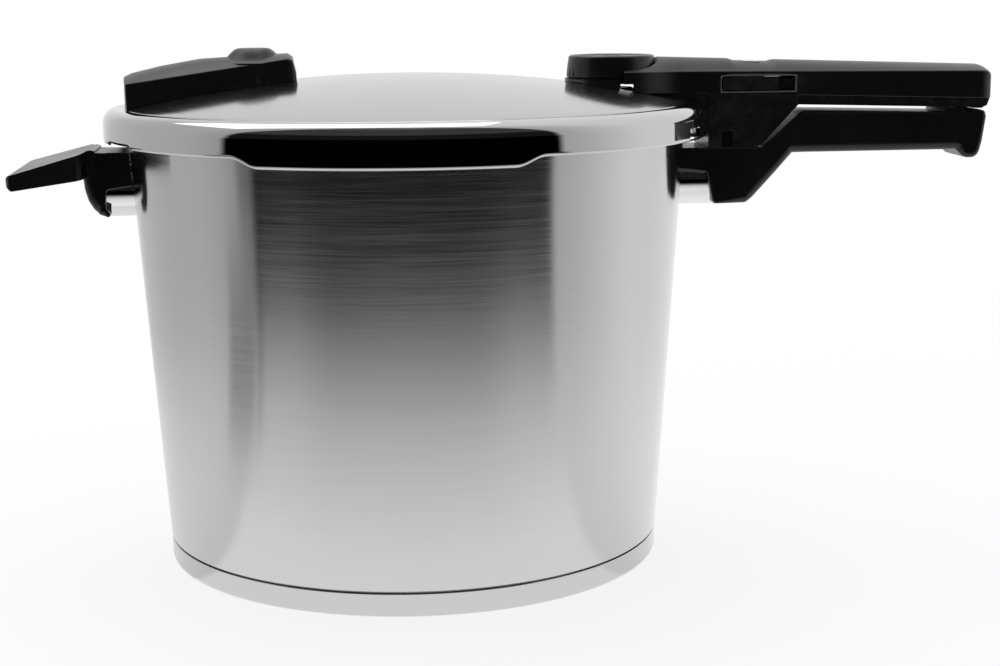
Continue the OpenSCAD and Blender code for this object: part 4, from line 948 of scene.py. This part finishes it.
def make_helper():
    """The helper handle, modelled along +X and turned to its side."""
    root, neck, out, edge = LID_R + 0.3, LID_R + 7.7, LID_R + 9.5, -low("helper_handle").x
    top_in, slope, t = RIM_Z - 9.9, 0.2685, 6.6
    top_out = top_in - slope * (edge - neck)
    gz = GUARD_Z
    shroud = [
        (wall_at(gz + 12) - 2.5, gz + 15.5, 0, 0.5), (root - 1.4, gz + 13.4, 2, 0.8), (root - 0.6, gz + 5.5, 3, 0.8),
        (root - 2.9, gz + 1.9, 1, 0.8), (root - 2.0, gz + 0.8, 0.8, 0.8), (root + 1.4, gz + 1.6, 6, 2.5),
        (root + 4.6, gz + 3.9, 8, 4.5), (out - 2.0, gz + 8.2, 8, 4.5), (out - 0.5, gz + 13.4, 8, 4.5),
        (out, gz + 19.6, 4, 3.5), (out, top_in - 4, 0.5, 2.0), (neck - 2, top_in - 0.6, 1, 1.0),
        (root - 0.8, RIM_Z - 10.8, 0, 1.0), (wall_at(RIM_Z) - 3.2, RIM_Z - 11, 0, 0.8),
    ]
    ob = pillow("helper_grip", fillet(shroud), ROOT_HALF_W, 5)
    side = [
        (out - 6, top_in - 11.4, 0, 0), (edge - 2.6, top_out - t, 1.2, 0), (edge - 0.4, top_out - t + 1.9, 1.6, 0),
        (edge, top_out - 1.2, 1.0, 0), (edge - 1.4, top_out + 0.35, 0.8, 0), (neck - 2, top_in + slope * 2, 0, 0),
        (out - 6, top_in, 0, 0),
    ]
    paddle = pillow("paddle", fillet(side, 5), 41, 1)
    wing, pad = 32.0, 40.0
    half = [
        (root + 2, ROOT_HALF_W - 0.3, 0), (neck - 0.6, ROOT_HALF_W + 1.5, 1.5), (neck + 0.6, wing - 4, 3),
        (neck + 2.8, wing, 2.5), (edge - 1.5, pad, 4.5), (edge + 0.5, pad - 6, 3),
    ]
    plan = fillet([(x, -y, r, 0) for x, y, r in half] + [(x, y, r, 0) for x, y, r in half[::-1]], 6)
    prism = loft("prism", [[(p[0], p[1], z) for p in plan] for z in (150, 230)], 35)
    boolean(paddle, [prism], "INTERSECT")
    soften(paddle, 0.9, 45, 3)
    apply_modifiers(paddle)
    boolean(ob, [paddle], "UNION")
    z, h = gz + 14, 6 + FIT
    block = bar("block", (90, -h, z - h), (root + 2 + FIT, h, z + h), 0, 1, "X")
    boolean(ob, [
        wall_cutter(), guard_pocket(root + 1), block,
        pin("shaft", 0, z, 2 + FIT, POT_R, 260, 48, "X"), pin("head", 0, z, 4.15, out - 4, 260, 48, "X"),
    ])
    turned(ob, 180)
    finish_piece(ob, "pot", BLACK, "black_plastic", "helper_handle")
    return soften(ob, 0.2, 55)


make_helper()


def make_handle_base():
    """The CAD solid's own faces, joined, with round edges along the grip."""
    ob = copy_of("lid_handle_base", "handle_base")
    bm = bmesh.new()
    bm.from_mesh(ob.data)
    bmesh.ops.remove_doubles(bm, verts=bm.verts, dist=2e-6)
    bmesh.ops.dissolve_limit(bm, angle_limit=math.radians(0.3), verts=bm.verts, edges=bm.edges)
    picked = []
    for e in bm.edges:
        if len(e.link_faces) == 2 and e.calc_face_angle(0) > math.radians(40):
            mid = (e.verts[0].co + e.verts[1].co) / 2 / MM
            if mid.x > 143 and abs(mid.y) > 12.5 and e.calc_length() > 2 * MM:
                picked.append(e)
    bmesh.ops.bevel(bm, geom=picked, offset=0.8 * MM, offset_type="OFFSET", segments=3, profile=0.5,
                    affect="EDGES", clamp_overlap=True)
    bm.to_mesh(ob.data)
    bm.free()
    smooth_faces(ob.data, 35)
    finish_piece(ob, "lid", BLACK, "black_plastic", "lid_handle_base")
    return soften(ob, 0)


make_handle_base()


def make_spring(node, name):
    """The CAD spring's coil with smooth wire."""
    ob = copy_of(node, name)
    tidy_mesh(ob.data, 80)
    finish_piece(ob, "lid", STEEL_PLAIN, "steel_plain", node)
    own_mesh(ob)


make_spring("valve_spring", "valve_coil")
make_spring("bolt_spring", "bolt_coil")

# --- the CAD pieces whose shape stays -----------------------------------------------------------
LOOKS = {
    ALUMINIUM: ["base_disc"],
    STEEL_PLAIN: ["main_bracket", "pot_handle_screw", "helper_bracket", "helper_handle_screw", "lid_handle_screws",
                  "cover_screws", "valve_body", "valve_nut", "selector_clip", "vent_pin", "lock_bolt",
                  "lid_grip_screws"],
    RUBBER: ["sealing_ring", "valve_gasket", "vent_grommet"],
    WHITE: ["pressure_indicator"],
    BLACK_SLIDER: ["lock_slider"],
    GREEN: ["lock_flag"],
    LENS: ["lock_window"],
}
for material, names in LOOKS.items():
    for name in names:
        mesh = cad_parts[name].data
        mesh.materials.clear()
        mesh.materials.append(material)

# --- stage --------------------------------------------------------------------------------------
# spans of direction
DARK_WALL = (-162.5, -37.5)     # the dark end of the room, behind the camera
# the floor's spans below carry painted shade: there its glow, which only mirrors see, is darker
SHADED_FLOOR_SPAN = (-154.6, -37.5)    # the floor that leads there
EARLY_FLOOR_SHADE = (-130.6, -61.4)    # where that floor turns dark nearer to the pot
FLOOR_SHADE_BAND = (-167.5, -150.0)    # a greyer band of floor beside it
FLOOR_SHADE_LINE = (-153.4, -150.6)    # a thin line at its edge
# grey levels: of the walls from left to right, of the dark end by height, and the painted shade of its floor by metres
SIDE_LEVELS = [(0.0, 0.55), (0.2, 0.62), (0.38, 0.80), (0.5, 0.88), (0.75, 0.92), (1.0, 0.86)]
DUSK_LEVELS = [(0.40, 0.01), (0.54, 0.055), (0.90, 0.05), (0.985, 0.12)]
FRONT_FLOOR_SHADE = [(0.17, 0.95), (0.24, 0.84), (0.33, 0.70), (0.44, 0.40), (0.56, 0.09), (0.66, 0.0)]


class Room(Nodes):
    """The nodes of the room that the steel mirrors. Directions are flat: unit vectors without height."""

    def __init__(self, tree):
        super().__init__(tree)
        tree.nodes.clear()

    def ramp(self, value, a, b, c=0.0, d=1.0):
        return self.remap(value, a, b, c, d, "SMOOTHSTEP")

    def curve(self, value, stops):
        """Grey level of a value between 0 and 1, smooth through (value, level) stops."""
        nd = self.node("ShaderNodeValToRGB", {0: value})
        ramp = nd.color_ramp
        ramp.interpolation = "EASE"
        while len(ramp.elements) < len(stops):
            ramp.elements.new(0.5)
        for element, (place, level) in zip(ramp.elements, stops):
            element.position = place
            element.color = (level, level, level, 1)
        return nd.outputs[0]

    def blend(self, share, a, b):
        rest = self.math("SUBTRACT", 1.0, share)
        return self.math("ADD", self.math("MULTIPLY", b, share), self.math("MULTIPLY", a, rest))

    def dimmed(self, value, share):
        """value, less a share of itself."""
        return self.math("MULTIPLY", value, self.math("SUBTRACT", 1.0, share))

    def flat(self, vector):
        return self.vector("NORMALIZE", self.vector("MULTIPLY", vector, (1, 1, 0))[0])[0]

    def sector(self, flat, span, soft=0.03):
        """1 between two directions in degrees from +X, 0 elsewhere."""
        mid, half = math.radians((span[0] + span[1]) / 2), math.radians((span[1] - span[0]) / 2)
        dot = self.vector("DOT_PRODUCT", flat, (math.cos(mid), math.sin(mid), 0))["Value"]
        return self.ramp(dot, math.cos(half) - soft, math.cos(half) + soft)

    def walls(self, flat):
        """Level of the bright walls: dimmer on the left and towards the camera."""
        place = self.split(flat)
        side = self.curve(self.remap(place[0], -1.0, 1.0), SIDE_LEVELS)
        return self.math("MULTIPLY", side, self.ramp(place[1], -0.75, 0.15, 0.55, 1.0))


def make_world():
    world = bpy.data.worlds.new("studio")
    bpy.context.scene.world = world
    world.use_nodes = True
    t = Room(world.node_tree)
    direction = t.node("ShaderNodeTexCoord").outputs["Generated"]
    height = t.split(direction)[2]
    flat = t.flat(direction)
    low_part = t.ramp(height, math.sin(math.radians(82)), math.sin(math.radians(87)), 1.0, 0.0)
    dark = t.math("MULTIPLY", t.sector(flat, DARK_WALL), low_part)
    seen = t.blend(dark, t.walls(flat), t.curve(height, DUSK_LEVELS))
    # mirrors see the room, the camera and glass see white, and matt surfaces get a plain level
    path = t.node("ShaderNodeLightPath").outputs
    plain = t.blend(path["Is Diffuse Ray"], 1.0, 0.8)
    strength = t.blend(path["Is Glossy Ray"], plain, seen)
    back = t.node("ShaderNodeBackground", {"Color": (1, 1, 1, 1), "Strength": strength})
    t.node("ShaderNodeOutputWorld", {0: back.outputs[0]})


make_world()


def floor_level(t, place):
    """What the steel mirrors of the floor, by distance from the pot in metres and by direction: a glow with painted
    shade, darker in front of the pot and in a grey band and a thin line.
    """
    flat = t.flat(place)
    far = t.vector("LENGTH", place)["Value"]
    walls = t.walls(flat)
    pale = t.math("ADD", t.math("MULTIPLY", walls, 0.4), 0.6)
    beside = t.blend(t.ramp(far, 0.22, 0.65), pale, walls)
    near = t.math("MULTIPLY", t.ramp(far, 0.24, 0.42), t.ramp(far, 0.5, 0.95, 1.0, 0.0))
    # painted shade in the floor's glow: a darker band beside, the front darker with distance, and a thin darker line
    band = t.math("MULTIPLY", t.sector(flat, FLOOR_SHADE_BAND, 0.004), near)
    beside = t.dimmed(beside, t.math("MULTIPLY", band, 0.48))
    middle = t.sector(flat, EARLY_FLOOR_SHADE, 0.116)
    front = t.curve(t.math("MULTIPLY", far, t.remap(middle, 0.0, 1.0, 0.89, 1.0)), FRONT_FLOOR_SHADE)
    line = t.math("MULTIPLY", t.sector(flat, FLOOR_SHADE_LINE, 0.0002), t.ramp(far, 0.24, 0.4, 0.0, 0.35))
    front = t.dimmed(front, line)
    mask = t.blend(t.ramp(far, 0.8, 1.2), t.sector(flat, SHADED_FLOOR_SPAN), t.sector(flat, DARK_WALL))
    return t.blend(mask, beside, front)


def make_floor():
    n, r = 96, 4200.0
    verts = [(0, 0, 0)] + [(r * math.cos(2 * math.pi * i / n), r * math.sin(2 * math.pi * i / n), 0) for i in range(n)]
    ob = make_object("floor", verts, [(0, 1 + i, 1 + (i + 1) % n) for i in range(n)])
    mat = bpy.data.materials.new("floor_paper")
    mat.use_nodes = True
    t = Room(mat.node_tree)
    place = t.node("ShaderNodeTexCoord").outputs["Object"]
    far = t.vector("LENGTH", place)["Value"]
    path = t.node("ShaderNodeLightPath").outputs
    glossy = path["Is Glossy Ray"]
    glow = t.node("ShaderNodeEmission", {"Strength": t.blend(glossy, 1.0, floor_level(t, place))})
    paper = t.node("ShaderNodeBsdfDiffuse", {"Color": (0.97, 0.97, 0.97, 1)})
    # the camera sees mostly the glow, with a share of the shaded paper near the pot
    share = t.math("MULTIPLY", path["Is Camera Ray"], t.ramp(far, 0.35, 0.9, 0.80, 1.0))
    mix = t.node("ShaderNodeMixShader", {0: t.math("ADD", share, glossy), 1: paper.outputs[0], 2: glow.outputs[0]})
    t.node("ShaderNodeOutputMaterial", {0: mix.outputs[0]})
    ob.data.materials.append(mat)


make_floor()


def make_light(name, place, target, size, power):
    data = bpy.data.lights.new(name, "AREA")
    data.shape = "RECTANGLE"
    data.size, data.size_y = size
    data.energy = power
    ob = bpy.data.objects.new(name, data)
    bpy.context.scene.collection.objects.link(ob)
    ob.location = place
    ob.rotation_euler = (Vector(target) - Vector(place)).to_track_quat("-Z", "Y").to_euler()
    return ob


make_light("soft_top", (-0.55, 0.75, 1.9), (-0.55, 0.75, 0.1), (2.0, 1.5), 12.4)

# --- camera -------------------------------------------------------------------------------------
heading, pitch, roll = math.radians(6.216), math.radians(-10.473), -0.00901
ahead = Vector((math.sin(heading) * math.cos(pitch), math.cos(heading) * math.cos(pitch), math.sin(pitch)))
level = Vector((math.cos(heading), -math.sin(heading), 0))
upright = level.cross(ahead)
right = math.cos(roll) * level + math.sin(roll) * upright
up = -math.sin(roll) * level + math.cos(roll) * upright
camera = bpy.data.objects.new("camera", bpy.data.cameras.new("camera"))
camera.data.lens = 67.47
camera.data.sensor_width = 36
turn = Matrix((right, up, -ahead)).transposed().to_4x4()
camera.matrix_world = Matrix.Translation((-0.0542, -0.8946, 0.2693)) @ turn
bpy.context.scene.collection.objects.link(camera)
bpy.context.scene.camera = camera
bpy.context.scene.view_settings.view_transform = "Standard"
